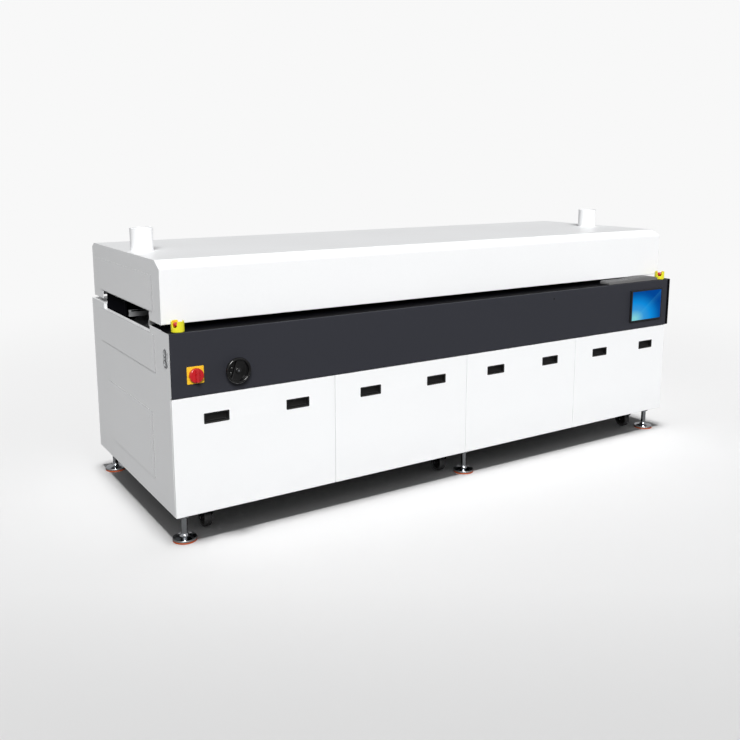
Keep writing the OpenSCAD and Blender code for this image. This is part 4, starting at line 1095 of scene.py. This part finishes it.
class OVEN_OT_controls(OvenPieces, bpy.types.Operator):
    """Isolator with its knob, and the width handwheel"""

    bl_idname = "oven.controls"
    bl_label = "Controls"

    def build(self, s):
        self.isolator()
        self.handwheel()

    def isolator(self):
        low, high = box("isolator_base")
        centre = middle_on_front("isolator_base")
        w = high.x - low.x
        inner = w - 2.4 * MM
        bm = bmesh.new()
        rounded_rows(bm, centre.x, centre.z, [(w, w, FRONT, 4), (w, w, FRONT - 1.8 * MM, 4),
                                              (inner, inner, FRONT - 3 * MM, 3)])
        rounded_box(bm, (centre.x - 31 * MM, FRONT + 2 * MM, centre.z - 31 * MM),
                    (centre.x + 31 * MM, high.y, centre.z + 31 * MM), 2 * MM)
        piece_from("isolator_plate", bm, "gold_yellow", "base",
                   ("isolator_base",))
        a, b = box("isolator_knob")
        r = (b.x - a.x) / 2
        disc = FRONT - 23 * MM
        bm = bmesh.new()
        rim = [(0, 4 * MM), (r * 0.96, 4 * MM), (r, 6 * MM), (r, 18 * MM),
               (r * 0.985, 20.5 * MM), (r * 0.94, 22.4 * MM), (r * 0.88, 23 * MM),
               (0, 23 * MM)]
        lathe(bm, rim, centre, "y", 72)
        grip = ((19, 0.93, disc + 1 * MM), (17.5, 0.92, disc - 6 * MM),
                (15, 0.88, a.y + 2.4 * MM), (11, 0.83, a.y))
        rounded_rows(bm, centre.x, centre.z,
                     [(width * MM, 2 * r * share, y, 0.42 * width)
                      for width, share, y in grip], 5)
        lathe(bm, [(0, -37 * MM), (5 * MM, -37 * MM), (5 * MM, 4.5 * MM), (0, 4.5 * MM)],
              centre, "y", 24)
        piece_from("isolator_handle", bm, "signal_red", "isolator_knob",
                   ("isolator_knob",))

    def handwheel(self):
        low, high = box("width_handwheel")
        centre = middle_on_front("width_handwheel")
        r = (high.x - low.x) / 2
        reach = FRONT - low.y
        mid = reach - 10 * MM
        bm = bmesh.new()
        rim = [(r - 7.5 * MM + 7.5 * MM * math.cos(a), mid + 10 * MM * math.sin(a))
               for a in [2 * math.pi * i / 20 for i in range(20)]]
        lathe(bm, rim, centre, "y", 96)
        web = mid - 14 * MM
        lathe(bm, [(0, web), (r - 8 * MM, web), (r - 8 * MM, web + 4 * MM),
                   (r * 0.6, web + 3 * MM), (0, web + 3 * MM)], centre, "y", 72)
        lean = math.radians(18)
        up = Vector((math.sin(lean), 0, math.cos(lean)))
        side = Vector((math.cos(lean), 0, -math.sin(lean)))
        loops = []
        thick = 5 * MM
        steps = 16
        for i in range(steps + 1):
            t = -1 + 2 * i / steps
            half = (20 + 6 * t * t) * MM
            depth = web + (8 + 4 * t * t) * MM
            along = centre + up * (t * (r - 8 * MM))
            loop = []
            for sx, dy in ((-1, -0.6), (-0.8, -1), (0.8, -1), (1, -0.6), (1, 0.6),
                           (0.8, 1), (-0.8, 1), (-1, 0.6)):
                p = along + side * (half * sx)
                loop.append((p.x, FRONT - depth - thick * dy * 0.9, p.z))
            loops.append(loop)
        loft(bm, loops)
        for angle in (150, 185, 220):
            a = math.radians(angle)
            knob = (centre.x + (r - 25 * MM) * math.cos(a), FRONT,
                    centre.z + (r - 25 * MM) * math.sin(a))
            lathe(bm, [(0, web + 2 * MM), (9 * MM, web + 2 * MM), (9 * MM, web + 6 * MM),
                       (7.5 * MM, web + 7.5 * MM), (5.5 * MM, web + 6.5 * MM),
                       (4 * MM, web + 4.5 * MM), (0, web + 4 * MM)], knob, "y", 20)
        hub = reach - 4 * MM
        lathe(bm, [(0, 8 * MM), (17 * MM, 8 * MM), (17 * MM, hub - 6 * MM),
                   (15 * MM, hub - 1.5 * MM), (12.5 * MM, hub), (7.5 * MM, hub),
                   (7 * MM, hub - 1 * MM), (7 * MM, hub - 7 * MM), (0, hub - 7 * MM)],
              centre, "y", 40)
        lathe(bm, [(0, -78 * MM), (7 * MM, -78 * MM), (7 * MM, 8 * MM), (0, 8 * MM)],
              centre, "y", 24)
        piece_from("handwheel_rim", bm, "glossy_black", "width_handwheel",
                   ("width_handwheel",))
        turned_piece("handwheel_cap", [(0, hub - 6.9 * MM), (6.8 * MM, hub - 6.9 * MM),
                                       (6.8 * MM, hub - 2 * MM), (5.5 * MM, hub - 0.6 * MM),
                                       (0, hub - 0.2 * MM)],
                     centre, 24, "polished_steel", "width_handwheel", axis="y")


class OVEN_OT_stops(OvenPieces, bpy.types.Operator):
    """Emergency stops: notched guards and mushroom buttons"""

    bl_idname = "oven.stops"
    bl_label = "Emergency stops"

    def build(self, s):
        guards = box("estop_guards")
        top = guards[1].z
        r = (guards[1].y - guards[0].y) / 2
        for name in ("entry", "exit"):
            node = f"estop_button_{name}"
            a, b = box(node)
            centre = middle_at(node, LEDGE)
            self.guard(name, centre, r, top - LEDGE)
            self.button(name, node, centre, (b.x - a.x) / 2, b.z - LEDGE, a.z - LEDGE)

    def guard(self, name, centre, r, h):
        """Cup whose wall is cut down by two round-bottomed notches, with an inner skin in deeper
        yellow as painted shade inside the cup.
        """
        notch = 14 * MM
        notch_low = 0.42 * h
        turn = math.radians(40)
        bore = 11.1 * MM

        def rim_at(a):
            across = abs(r * math.sin(a - turn))
            if across >= notch:
                return h
            return min(h, notch_low + notch - math.sqrt(notch * notch - across * across))

        steps = 180
        angles = [2 * math.pi * i / steps for i in range(steps)]
        wall = 5 * MM
        rows = []
        for a in angles:
            rim = (rim_at(a - 0.02) + rim_at(a) + rim_at(a + 0.02)) / 3

            def at(radius, z):
                return (centre.x + radius * math.cos(a), centre.y + radius * math.sin(a),
                        centre.z + z)

            rows.append([at(r - 2 * MM, 0), at(r, 2 * MM), at(r, rim - 1.5 * MM),
                         at(r - 1.2 * MM, rim), at(r - wall + 1 * MM, rim),
                         at(r - wall, rim - 1 * MM), at(r - wall, 6 * MM),
                         at(bore, 5 * MM), at(bore, 0)])
        bm = bmesh.new()
        loft(bm, rows, closed=True)
        replaced = ("estop_guards",) if name == "entry" else ()
        piece_from(f"stop_guard_{name}", bm, "lime_yellow", "base", replaced)
        # Inner skin in a deeper yellow: painted shade on the inside of the cup's wall.
        rows = []
        for a in angles:
            rim = min(rim_at(a - 0.02), rim_at(a), rim_at(a + 0.02)) - 2 * MM
            rows.append([(centre.x + q * math.cos(a), centre.y + q * math.sin(a),
                          centre.z + z)
                         for q, z in ((r - wall - 0.05 * MM, 6.5 * MM),
                                      (r - wall - 0.05 * MM, rim),
                                      (r - wall - 1 * MM, rim - 0.6 * MM),
                                      (r - wall - 1 * MM, 6.5 * MM))])
        bm = bmesh.new()
        loft(bm, rows, closed=True)
        piece_from(f"stop_lining_{name}", bm, "gold_yellow", "base")
        turned_piece(f"stop_contacts_{name}",
                     [(bore, -2 * MM), (15 * MM, -2 * MM), (15 * MM, -44 * MM),
                      (0, -44 * MM), (0, -40 * MM), (bore, -40 * MM)],
                     centre, 24, "black_moulding", "base")

    def button(self, name, node, centre, r, top, bottom):
        under = top - 16 * MM
        turned_piece(f"stop_button_{name}",
                     [(0, bottom), (11 * MM, bottom), (11 * MM, under), (r - 3 * MM, under),
                      (r, under + 3 * MM), (r, top - 7 * MM), (r - 2 * MM, top - 3 * MM),
                      (r - 6 * MM, top - 0.6 * MM), (r * 0.4, top), (0, top)],
                     centre, 48, "signal_red", node, (node,))


class OVEN_OT_monitor(OvenPieces, bpy.types.Operator):
    """Screen with its lit picture"""

    bl_idname = "oven.monitor"
    bl_label = "Screen"

    def build(self, s):
        low, high = box("monitor_screen")
        bm = bmesh.new()
        rounded_box(bm, low, high, 0.5 * MM)
        piece_from("screen_glass", bm, "screen_picture", "base",
                   ("monitor_screen",))


class OVEN_OT_keyboard(OvenPieces, bpy.types.Operator):
    """Low keyboard with an arched right part and rows of keys"""

    bl_idname = "oven.keyboard"
    bl_label = "Keyboard"

    def build(self, s):
        low, high = box("keyboard")
        length = high.x - low.x
        flat = 0.42 * length
        body_h = 14 * MM
        arch = high.z - low.z - 20 * MM

        def rise(x):
            return arch * math.sin(math.pi * min(1, max(0, x - flat) / (length - flat)))

        steps = 28
        top = [(low.x + x, low.z + body_h + rise(x))
               for x in (i / steps * length for i in range(steps + 1))]
        outline = soft_profile([(low.x, low.z), (high.x, low.z)] + list(reversed(top)),
                               2 * MM)
        bm = bmesh.new()
        extrude_y(bm, outline, low.y, high.y)
        case = piece_from("keyboard_case", bm, "keyboard_grey", "base",
                          ("keyboard",))
        soften(case, 1.2 * MM)
        self.keys(s, low, length, body_h, rise)

    def keys(self, s, low, length, body_h, rise):
        cap = template_of("key_cap", self.key_cap, "keyboard_grey")
        columns = int((length - 10 * MM) / s.key_pitch)
        start = (length - columns * s.key_pitch) / 2 + s.key_pitch / 2
        keys = repeat("keyboard_keys", "grid", one_point("keys_base"), cap, "keyboard_grey",
                      {"Pitch X": s.key_pitch, "Pitch Y": 18 * MM, "Count X": columns,
                       "Count Y": 5,
                       "Corner": (low.x + start, low.y + 11 * MM, low.z + body_h)})
        for v in keys.data.vertices:
            v.co.z += rise(v.co.x - low.x)
        drop(cap)
        settle(keys, "base")

    def key_cap(self, bm):
        w = 15 * MM
        rows = [(w, -1 * MM), (w, 2 * MM), (w * 0.82, 5.5 * MM)]
        loft(bm, [[(x, y, z) for x, y in rounded_rect(0, 0, rw, rw, 2 * MM, 2)]
                  for rw, z in rows])


class OVEN_OT_ports(OvenPieces, bpy.types.Operator):
    """Obround plate with two pin sockets on the entry end"""

    bl_idname = "oven.ports"
    bl_label = "Signal ports"

    def build(self, s):
        low, high = box("signal_ports")
        w, h = high.y - low.y, high.z - low.z
        y, z = (low.y + high.y) / 2, (low.z + high.z) / 2
        plate = -3 * MM
        apart, pins, pin_circle = 25 * MM, 7, 7 * MM
        bm = bmesh.new()
        loft(bm, [[(x, py, pz) for py, pz in rounded_rect(y, z, w, h, w / 2 - 0.01 * MM, 12)]
                  for x in (high.x, high.x - 1 * MM)])
        out = low.x - high.x
        for side in (-1, 1):
            centre = (high.x, y, z + side * apart)
            lathe(bm, [(19 * MM, plate), (19 * MM, out + 1 * MM), (18 * MM, out),
                       (16.8 * MM, out), (16.5 * MM, out + 1 * MM), (16.5 * MM, plate)],
                  centre, "x", 40)
            for k in range(pins):
                a = 2 * math.pi * k / pins
                pin = (high.x, y + pin_circle * math.cos(a),
                       z + side * apart + pin_circle * math.sin(a))
                lathe(bm, [(0, plate - 0.7 * MM), (1.3 * MM, plate - 0.7 * MM),
                           (1.3 * MM, plate - 1.4 * MM), (0, plate - 1.5 * MM)], pin, "x", 10)
        lathe(bm, [(0, plate), (4 * MM, plate), (3.6 * MM, plate - 1.4 * MM),
                   (0, plate - 1.6 * MM)], (high.x, y - 10 * MM, z), "x", 20)
        piece_from("port_sockets", bm, "black_moulding", "base",
                   ("signal_ports",))
        bm = bmesh.new()
        inner = 2.4 * MM
        rows = [(w - inner, h - inner, high.x), (w - inner, h - inner, high.x + plate + 0.6 * MM),
                (w - inner - 1.2 * MM, h - inner - 1.2 * MM, high.x + plate)]
        loft(bm, [[(x, py, pz) for py, pz in rounded_rect(y, z, rw, rh, rw / 2 - 0.01 * MM, 12)]
                  for rw, rh, x in rows])
        for side in (-1, 1):
            centre = (high.x, y, z + side * apart)
            lathe(bm, [(0, plate + 0.5 * MM), (16.4 * MM, plate + 0.5 * MM),
                       (16.4 * MM, out + 1.2 * MM), (12 * MM, out + 0.8 * MM),
                       (11.5 * MM, plate - 0.8 * MM), (0, plate - 0.8 * MM)],
                  centre, "x", 40)
        piece_from("port_plate", bm, "frame_grey", "base")


class OVEN_OT_feet(OvenPieces, bpy.types.Operator):
    """Levelling feet: orange ring, grey rim, domed disc, stem and lock nut"""

    bl_idname = "oven.feet"
    bl_label = "Levelling feet"

    def build(self, s):
        for k in range(1, 7):
            node = f"levelling_foot_{k}"
            low, high = box(node)
            r = (high.x - low.x) / 2
            centre = middle_at(node, FLOOR)
            ring = [(0, 0), (r - 3 * MM, 0), (r - 1.5 * MM, 1.2 * MM), (r - 1 * MM, 6 * MM),
                    (r - 2 * MM, 7.5 * MM), (0, 7.5 * MM)]
            turned_piece(f"foot_ring_{k}", ring, centre, 64, "orange_rubber", node)
            rim = [(0, 7.6 * MM), (r - 0.6 * MM, 7.6 * MM), (r, 8.4 * MM), (r, 14 * MM),
                   (r - 1.2 * MM, 16 * MM), (0, 16 * MM)]
            turned_piece(f"foot_rim_{k}", rim, centre, 64, "rim_steel", node)
            self.body(node, k, centre, r, high.z)

    def body(self, node, k, centre, r, top):
        stem = 15 * MM
        bell, low_z, high_z = stem + 15 * MM, 23 * MM, 45 * MM
        dome = [(r - 3 * MM, 15.9 * MM), (r - 3.2 * MM, 16.8 * MM), (r - 8 * MM, 17.2 * MM),
                (bell + 6 * MM, low_z - 1.2 * MM)]
        for i in range(11):
            a = math.pi / 2 * i / 10
            dome.append((bell - (bell - stem) * math.sin(a),
                         high_z - (high_z - low_z) * math.cos(a)))
        neck = [(stem, 50 * MM), (stem, top - 1 * MM),
                (stem - 1 * MM, top), (0, top), (0, 16 * MM)]
        bm = bmesh.new()
        lathe(bm, dome + neck, centre, "z", 64)
        nut_low, nut_high = CASE_BOTTOM - 14 * MM, CASE_BOTTOM - 0.5 * MM
        rows = [(24.5, nut_low), (26.2, nut_low + 1.5 * MM), (26.2, nut_high - 1.5 * MM),
                (24.5, nut_high)]
        loft(bm, [[(centre.x + nr * MM * math.cos(math.pi / 3 * i),
                    centre.y + nr * MM * math.sin(math.pi / 3 * i), z) for i in range(6)]
                  for nr, z in rows])
        piece_from(f"foot_stem_{k}", bm, "polished_steel", node, (node,))


class OVEN_OT_castors(OvenPieces, bpy.types.Operator):
    """Swivel castors: pressed forks, ball race, tyres and hubs"""

    bl_idname = "oven.castors"
    bl_label = "Castors"

    def build(self, s):
        for k in range(1, 7):
            self.fork(k)
            self.wheel(k)

    def swivel(self, k):
        """Placement of a castor's own frame, its wheel trailing along +x, and the axle."""
        wheel_low, wheel_high = box(f"castor_wheel_{k}")
        middle = (wheel_low + wheel_high) / 2
        trail = 30 * MM
        place = (Matrix.Translation((middle.x, middle.y - trail, 0))
                 @ Matrix.Rotation(math.pi / 2, 4, "Z"))
        half = (wheel_high.x - wheel_low.x) / 2
        return place, Vector((trail, 0, middle.z)), half

    def fork(self, k):
        node = f"castor_fork_{k}"
        stud_top = box(node)[1].z
        place, axle, wheel_half = self.swivel(k)
        plate_t = 6 * MM
        top = CASE_BOTTOM - plate_t
        bm = bmesh.new()
        lathe(bm, [(0, top - 13 * MM), (28 * MM, top - 13 * MM), (33 * MM, top - 9 * MM),
                   (33.5 * MM, top - 5 * MM), (30 * MM, top - 0.6 * MM),
                   (0, top - 0.6 * MM)], (0, 0, 0), "z", 48)
        lathe(bm, [(0, top - 2 * MM), (8 * MM, top - 2 * MM), (8 * MM, stud_top),
                   (0, stud_top)], (0, 0, 0), "z", 24)
        half = wheel_half + 1.6 * MM
        cheek = 3.6 * MM
        outline = soft_profile(
            [(-29 * MM, top - 11 * MM), (33 * MM, top - 11 * MM), (40 * MM, top - 24 * MM),
             (axle.x + 15 * MM, axle.z), (axle.x + 8 * MM, axle.z - 14 * MM),
             (axle.x - 8 * MM, axle.z - 14 * MM), (axle.x - 15 * MM, axle.z - 2 * MM),
             (-20 * MM, top - 34 * MM)], 9 * MM, 4)
        for side in (-1, 1):
            y = side * half
            extrude_y(bm, outline, min(y, y + side * cheek), max(y, y + side * cheek))
        rounded_box(bm, (-28 * MM, -half - 3 * MM, top - 14 * MM),
                    (32 * MM, half + 3 * MM, top - 10.5 * MM), 1 * MM)
        bm.transform(place)
        piece_from(f"castor_body_{k}", bm, "deck_black", node, (node,))
        bm = bmesh.new()
        reach = half + 4.6 * MM
        lathe(bm, [(0, -reach), (7.5 * MM, -reach), (7.5 * MM, -reach + 0.9 * MM),
                   (5.9 * MM, -reach + 0.9 * MM), (5.9 * MM, reach - 0.9 * MM),
                   (7.5 * MM, reach - 0.9 * MM), (7.5 * MM, reach), (0, reach)],
              axle, "y", 6)
        bm.transform(place)
        piece_from(f"castor_axle_{k}", bm, "rim_steel", node)

    def wheel(self, k):
        node = f"castor_wheel_{k}"
        low, high = box(node)
        place, axle, half = self.swivel(k)
        r = (high.z - low.z) / 2
        bm = bmesh.new()
        tread = 9 * MM
        lathe(bm, [(r - tread, -half + 5 * MM), (r - 6 * MM, -half + 1 * MM),
                   (r - 2.5 * MM, -half + 3 * MM), (r - 0.4 * MM, -half + 8 * MM), (r, 0),
                   (r - 0.4 * MM, half - 8 * MM), (r - 2.5 * MM, half - 3 * MM),
                   (r - 6 * MM, half - 1 * MM), (r - tread, half - 5 * MM)],
              axle, "y", 72)
        bm.transform(place)
        piece_from(f"castor_tyre_{k}", bm, "castor_tyre", node, (node,))
        bm = bmesh.new()
        lathe(bm, [(6.1 * MM, -half), (12 * MM, -half), (13 * MM, -half + 2 * MM),
                   (16 * MM, -half + 8 * MM), (32 * MM, -half + 9 * MM),
                   (36 * MM, -half + 3 * MM), (r - tread, -half + 4 * MM),
                   (r - tread, half - 4 * MM), (36 * MM, half - 3 * MM),
                   (32 * MM, half - 9 * MM), (16 * MM, half - 8 * MM),
                   (13 * MM, half - 2 * MM), (12 * MM, half), (6.1 * MM, half)],
              axle, "y", 48)
        bm.transform(place)
        piece_from(f"castor_hub_{k}", bm, "black_moulding", node)


class OVEN_OT_conveyor(OvenPieces, bpy.types.Operator):
    """Pin chains on both rails, and the belt's cross rods"""

    bl_idname = "oven.conveyor"
    bl_label = "Conveyor"

    def build(self, s):
        for node, body, side in (("fixed_rail", "base", 1), ("movable_rail", "movable_rail",
                                                             -1)):
            self.chain(s, node, body, side)
        self.belt_rods(s)

    def chain(self, s, node, body, side):
        low, high = box(node)
        inner = high.y if side > 0 else low.y
        y = inner - side * 4 * MM
        z = high.z - 4 * MM
        link = template_of("chain_link", self.link, "chain_steel")
        count = int((high.x - low.x - 20 * MM) / s.chain_pitch)
        chain = repeat(f"{node}_chain", "grid", one_point("chain_base"), link, "chain_steel",
                       {"Pitch X": s.chain_pitch, "Pitch Y": 1.0, "Count X": count,
                        "Count Y": 1, "Corner": (low.x + 14 * MM, y, z)})
        drop(link)
        settle(chain, body)

    def link(self, bm):
        """Two plates on a pin that carries the board's edge."""
        for y in (-2.4 * MM, 1.4 * MM):
            rounded_box(bm, (-6 * MM, y, -3.4 * MM), (6 * MM, y + 1.0 * MM, 3.4 * MM),
                        0.4 * MM, 1)
        lathe(bm, [(0, -3.6 * MM), (1.6 * MM, -3.6 * MM), (1.6 * MM, 3.6 * MM),
                   (0, 3.6 * MM)], (0, 0, 0), "y", 8)

    def belt_rods(self, s):
        low, high = box("mesh_belt")
        r = (high.z - low.z) / 2 - 2 * MM
        z = (low.z + high.z) / 2
        half = (high.y - low.y) / 2
        steps = 32
        points = []
        for x, start in ((low.x + r + 2 * MM, math.pi / 2), (high.x - r - 2 * MM,
                                                             -math.pi / 2)):
            for i in range(steps + 1):
                a = start + math.pi * i / steps
                points.append((x + r * math.cos(a), (low.y + high.y) / 2,
                               z + r * math.sin(a)))
        base = bpy.data.meshes.new("belt_path")
        count = len(points)
        base.from_pydata(points, [(i, (i + 1) % count) for i in range(count)], [])
        rod = template_of("belt_rod", lambda bm: lathe(
            bm, [(0, -half), (2 * MM, -half), (2 * MM, half), (0, half)], (0, 0, 0), "y", 6),
            "drawn_steel")
        rods = repeat("belt_rods", "path", base, rod, "drawn_steel",
                      {"Pitch": s.belt_pitch})
        drop(rod)
        settle(rods, "base")


class OVEN_OT_fasteners(OvenPieces, bpy.types.Operator):
    """Screws of the rear panels"""

    bl_idname = "oven.fasteners"
    bl_label = "Fasteners"

    def build(self, s):
        head = template_of("screw", screw_head, "rim_steel")
        inset = 14 * MM
        places = []
        low, high = box("rear_panels")
        for k in range(DOOR_COUNT):
            x0 = CASE_LEFT + k * DOOR_PITCH
            x1 = min(x0 + DOOR_PITCH, CASE_RIGHT)
            for x in (x0 + inset, (x0 + x1) / 2, x1 - inset):
                for z in (low.z + inset, (low.z + high.z) / 2, high.z - inset):
                    places.append(((x, BACK, z), (0, 1, 0)))
        screws = repeat("case_screws", "points", points_mesh("case_screws", places), head,
                        "rim_steel")
        settle(screws, "base")
        drop(head)


CAD_FINISHES = {
    "frame_grey": ("base_frame", "frame_beams", "hood_ribs"),
    "sheet_steel": ("lower_chambers", "upper_chambers"),
    "drawn_steel": ("lead_screw_entry", "lead_screw_exit", "belt_drive_drum",
                    "belt_tail_drum"),
    "rail_aluminium": ("fixed_rail", "movable_rail"),
    "polished_steel": ("lift_tubes", "lift_rods"),
    # The trough is black as painted shade of the tunnel's inside.
    "deck_black": ("tunnel_trough", "mouth_shutters"),
    "belt_mesh": ("mesh_belt",),
}


class OVEN_OT_solids(OvenPieces, bpy.types.Operator):
    """Finishes of the solids that are shown as they are"""

    bl_idname = "oven.solids"
    bl_label = "Frame, chambers and conveyor solids"

    def build(self, s):
        for name, nodes in CAD_FINISHES.items():
            for node in nodes:
                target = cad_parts[node]
                if not target.material_slots:
                    target.data.materials.append(finish(name))
                for place in target.material_slots:
                    place.material = finish(name)


class OVEN_OT_stage(OvenPieces, bpy.types.Operator):
    """Camera, world, pale floor and lamps"""

    bl_idname = "oven.stage"
    bl_label = "Stage"

    def build(self, s):
        scene = bpy.context.scene
        scene.view_settings.view_transform = "Standard"
        self.camera(scene)
        self.world(scene)
        self.floor()
        self.lamps()

    def camera(self, scene):
        data = bpy.data.cameras.new("camera")
        data.lens = 41.06
        data.sensor_width = 36.0
        data.shift_y = -0.0722
        data.clip_end = 200
        eye = show("camera", data)
        eye.location = (CASE_LEFT - 1.3004, FRONT - 3.7694, 1.8368)
        eye.rotation_euler = (1.3922, 0.0, -0.5708)
        scene.camera = eye

    def world(self, scene):
        world = bpy.data.worlds.new("studio")
        scene.world = world
        world.use_nodes = True
        tree = world.node_tree
        tree.nodes.clear()
        out = tree.nodes.new("ShaderNodeOutputWorld")
        colours = scene.oven_colours
        lit = add_node(tree, "ShaderNodeBackground",
                       {"Color": (0.99, 0.99, 1.0, 1), "Strength": 0.18})
        seen = add_node(tree, "ShaderNodeBackground",
                        {"Color": (*colours.backdrop, 1), "Strength": 1.0})
        mirrored = add_node(tree, "ShaderNodeBackground",
                            {"Color": (0.99, 0.99, 1.0, 1), "Strength": 0.42})
        path = add_node(tree, "ShaderNodeLightPath")
        either = maths(tree, "MAXIMUM", path.outputs["Is Camera Ray"],
                       path.outputs["Is Transmission Ray"])
        behind = add_node(tree, "ShaderNodeMixShader",
                          {0: path.outputs["Is Glossy Ray"], 1: lit.outputs[0],
                           2: mirrored.outputs[0]})
        blend = add_node(tree, "ShaderNodeMixShader",
                         {0: either, 1: behind.outputs[0], 2: seen.outputs[0]})
        tree.links.new(blend.outputs[0], out.inputs["Surface"])

    def floor(self):
        colours = bpy.context.scene.oven_colours
        material, tree, shader = blank_material("studio_floor", 0.8)
        shader.inputs["Specular IOR Level"].default_value = 0.0
        output = next(n for n in tree.nodes if n.type == "OUTPUT_MATERIAL")
        place = own_place(tree)
        away = add_node(tree, "ShaderNodeVectorMath",
                        {0: place, 1: (0.54, 0.842, 0.0)}, operation="DOT_PRODUCT")
        # Painted shade: the floor's colour darkens from the far side towards the camera.
        tone = ramp(tree, remap(tree, away.outputs["Value"], -3.2, 1.2),
                    [(0.0, 0.67), (0.1, 0.713), (0.28, 0.81), (0.51, 0.845), (0.73, 0.86),
                     (1.0, 0.875)])
        path = add_node(tree, "ShaderNodeLightPath")
        lit = mix_colour(tree, 1.0, tone.outputs["Color"], tuple(colours.floor), "MULTIPLY")
        seen = mix_colour(tree, path.outputs["Is Camera Ray"], (0.2, 0.2, 0.2), lit)
        tree.links.new(seen, shader.inputs["Base Color"])
        distance = add_node(tree, "ShaderNodeVectorMath", {0: place}, operation="LENGTH")
        fade = remap(tree, distance.outputs["Value"], 2.4, 7.0, curve="SMOOTHSTEP")
        share = maths(tree, "MULTIPLY", path.outputs["Is Camera Ray"], fade)
        glow = add_node(tree, "ShaderNodeEmission",
                        {"Color": (*colours.backdrop, 1), "Strength": 1.0})
        blend = add_node(tree, "ShaderNodeMixShader",
                         {0: share, 1: shader.outputs[0], 2: glow.outputs[0]})
        tree.links.new(blend.outputs[0], output.inputs["Surface"])
        half = 60.0
        mesh = bpy.data.meshes.new("studio_floor")
        mesh.from_pydata([(-half, -half, 0), (half, -half, 0), (half, half, 0),
                          (-half, half, 0)], [], [(0, 1, 2, 3)])
        mesh.materials.append(material)
        show("studio_floor", mesh)

    def lamps(self):
        """Soft lamps on the oven from the front and side, and an overhead one on the floor."""
        for name, towards, strength, angle, state in (
                ("front", (-0.344, -0.712, 0.612), 3.81, 25, "EXCLUDE"),
                ("side", (0.9, -0.1, 0.05), 1.6, 40, "EXCLUDE"),
                ("overhead", (0.0, 0.0, 1.0), 2.57, 8, "INCLUDE")):
            data = bpy.data.lights.new(name, "SUN")
            data.energy = strength
            data.angle = math.radians(angle)
            lamp = show(name, data)
            lamp.rotation_euler = Vector(towards).to_track_quat("Z", "Y").to_euler()
            lamp.visible_glossy = name != "side"
            lamp.light_linking.receiver_collection = self.receivers(name, state)

    def receivers(self, name, state):
        """Collection that keeps a lamp on the floor or off it."""
        group = bpy.data.collections.new(name + "_receivers")
        group.objects.link(bpy.data.objects["studio_floor"])
        group.collection_objects[0].light_linking.link_state = state
        return group


OPERATORS = (OVEN_OT_stage, OVEN_OT_doors, OVEN_OT_fascia, OVEN_OT_hood, OVEN_OT_stacks,
             OVEN_OT_panels, OVEN_OT_controls, OVEN_OT_stops, OVEN_OT_monitor,
             OVEN_OT_keyboard, OVEN_OT_ports, OVEN_OT_feet, OVEN_OT_castors,
             OVEN_OT_conveyor, OVEN_OT_fasteners, OVEN_OT_solids)


class OVEN_PT_pieces(bpy.types.Panel):
    """Lists the oven's operators, sizes and colours"""

    bl_idname = "OVEN_PT_pieces"
    bl_label = "Inline reflow oven"
    bl_space_type = "VIEW_3D"
    bl_region_type = "UI"
    bl_category = "Oven"

    def draw(self, context):
        for operator in OPERATORS:
            self.layout.operator(operator.bl_idname)
        for group in (context.scene.oven_sizes, context.scene.oven_colours):
            for key in group.__annotations__:
                self.layout.prop(group, key)


CLASSES = (OvenSizes, OvenColours) + OPERATORS + (OVEN_PT_pieces,)


def register():
    for cls in CLASSES:
        bpy.utils.register_class(cls)
    bpy.types.Scene.oven_sizes = bpy.props.PointerProperty(type=OvenSizes)
    bpy.types.Scene.oven_colours = bpy.props.PointerProperty(type=OvenColours)


def unregister():
    del bpy.types.Scene.oven_colours
    del bpy.types.Scene.oven_sizes
    for cls in reversed(CLASSES):
        bpy.utils.unregister_class(cls)


def main():
    register()
    for operator in OPERATORS:
        family, name = operator.bl_idname.split(".")
        getattr(getattr(bpy.ops, family), name)()


if __name__ == "__main__":
    main()
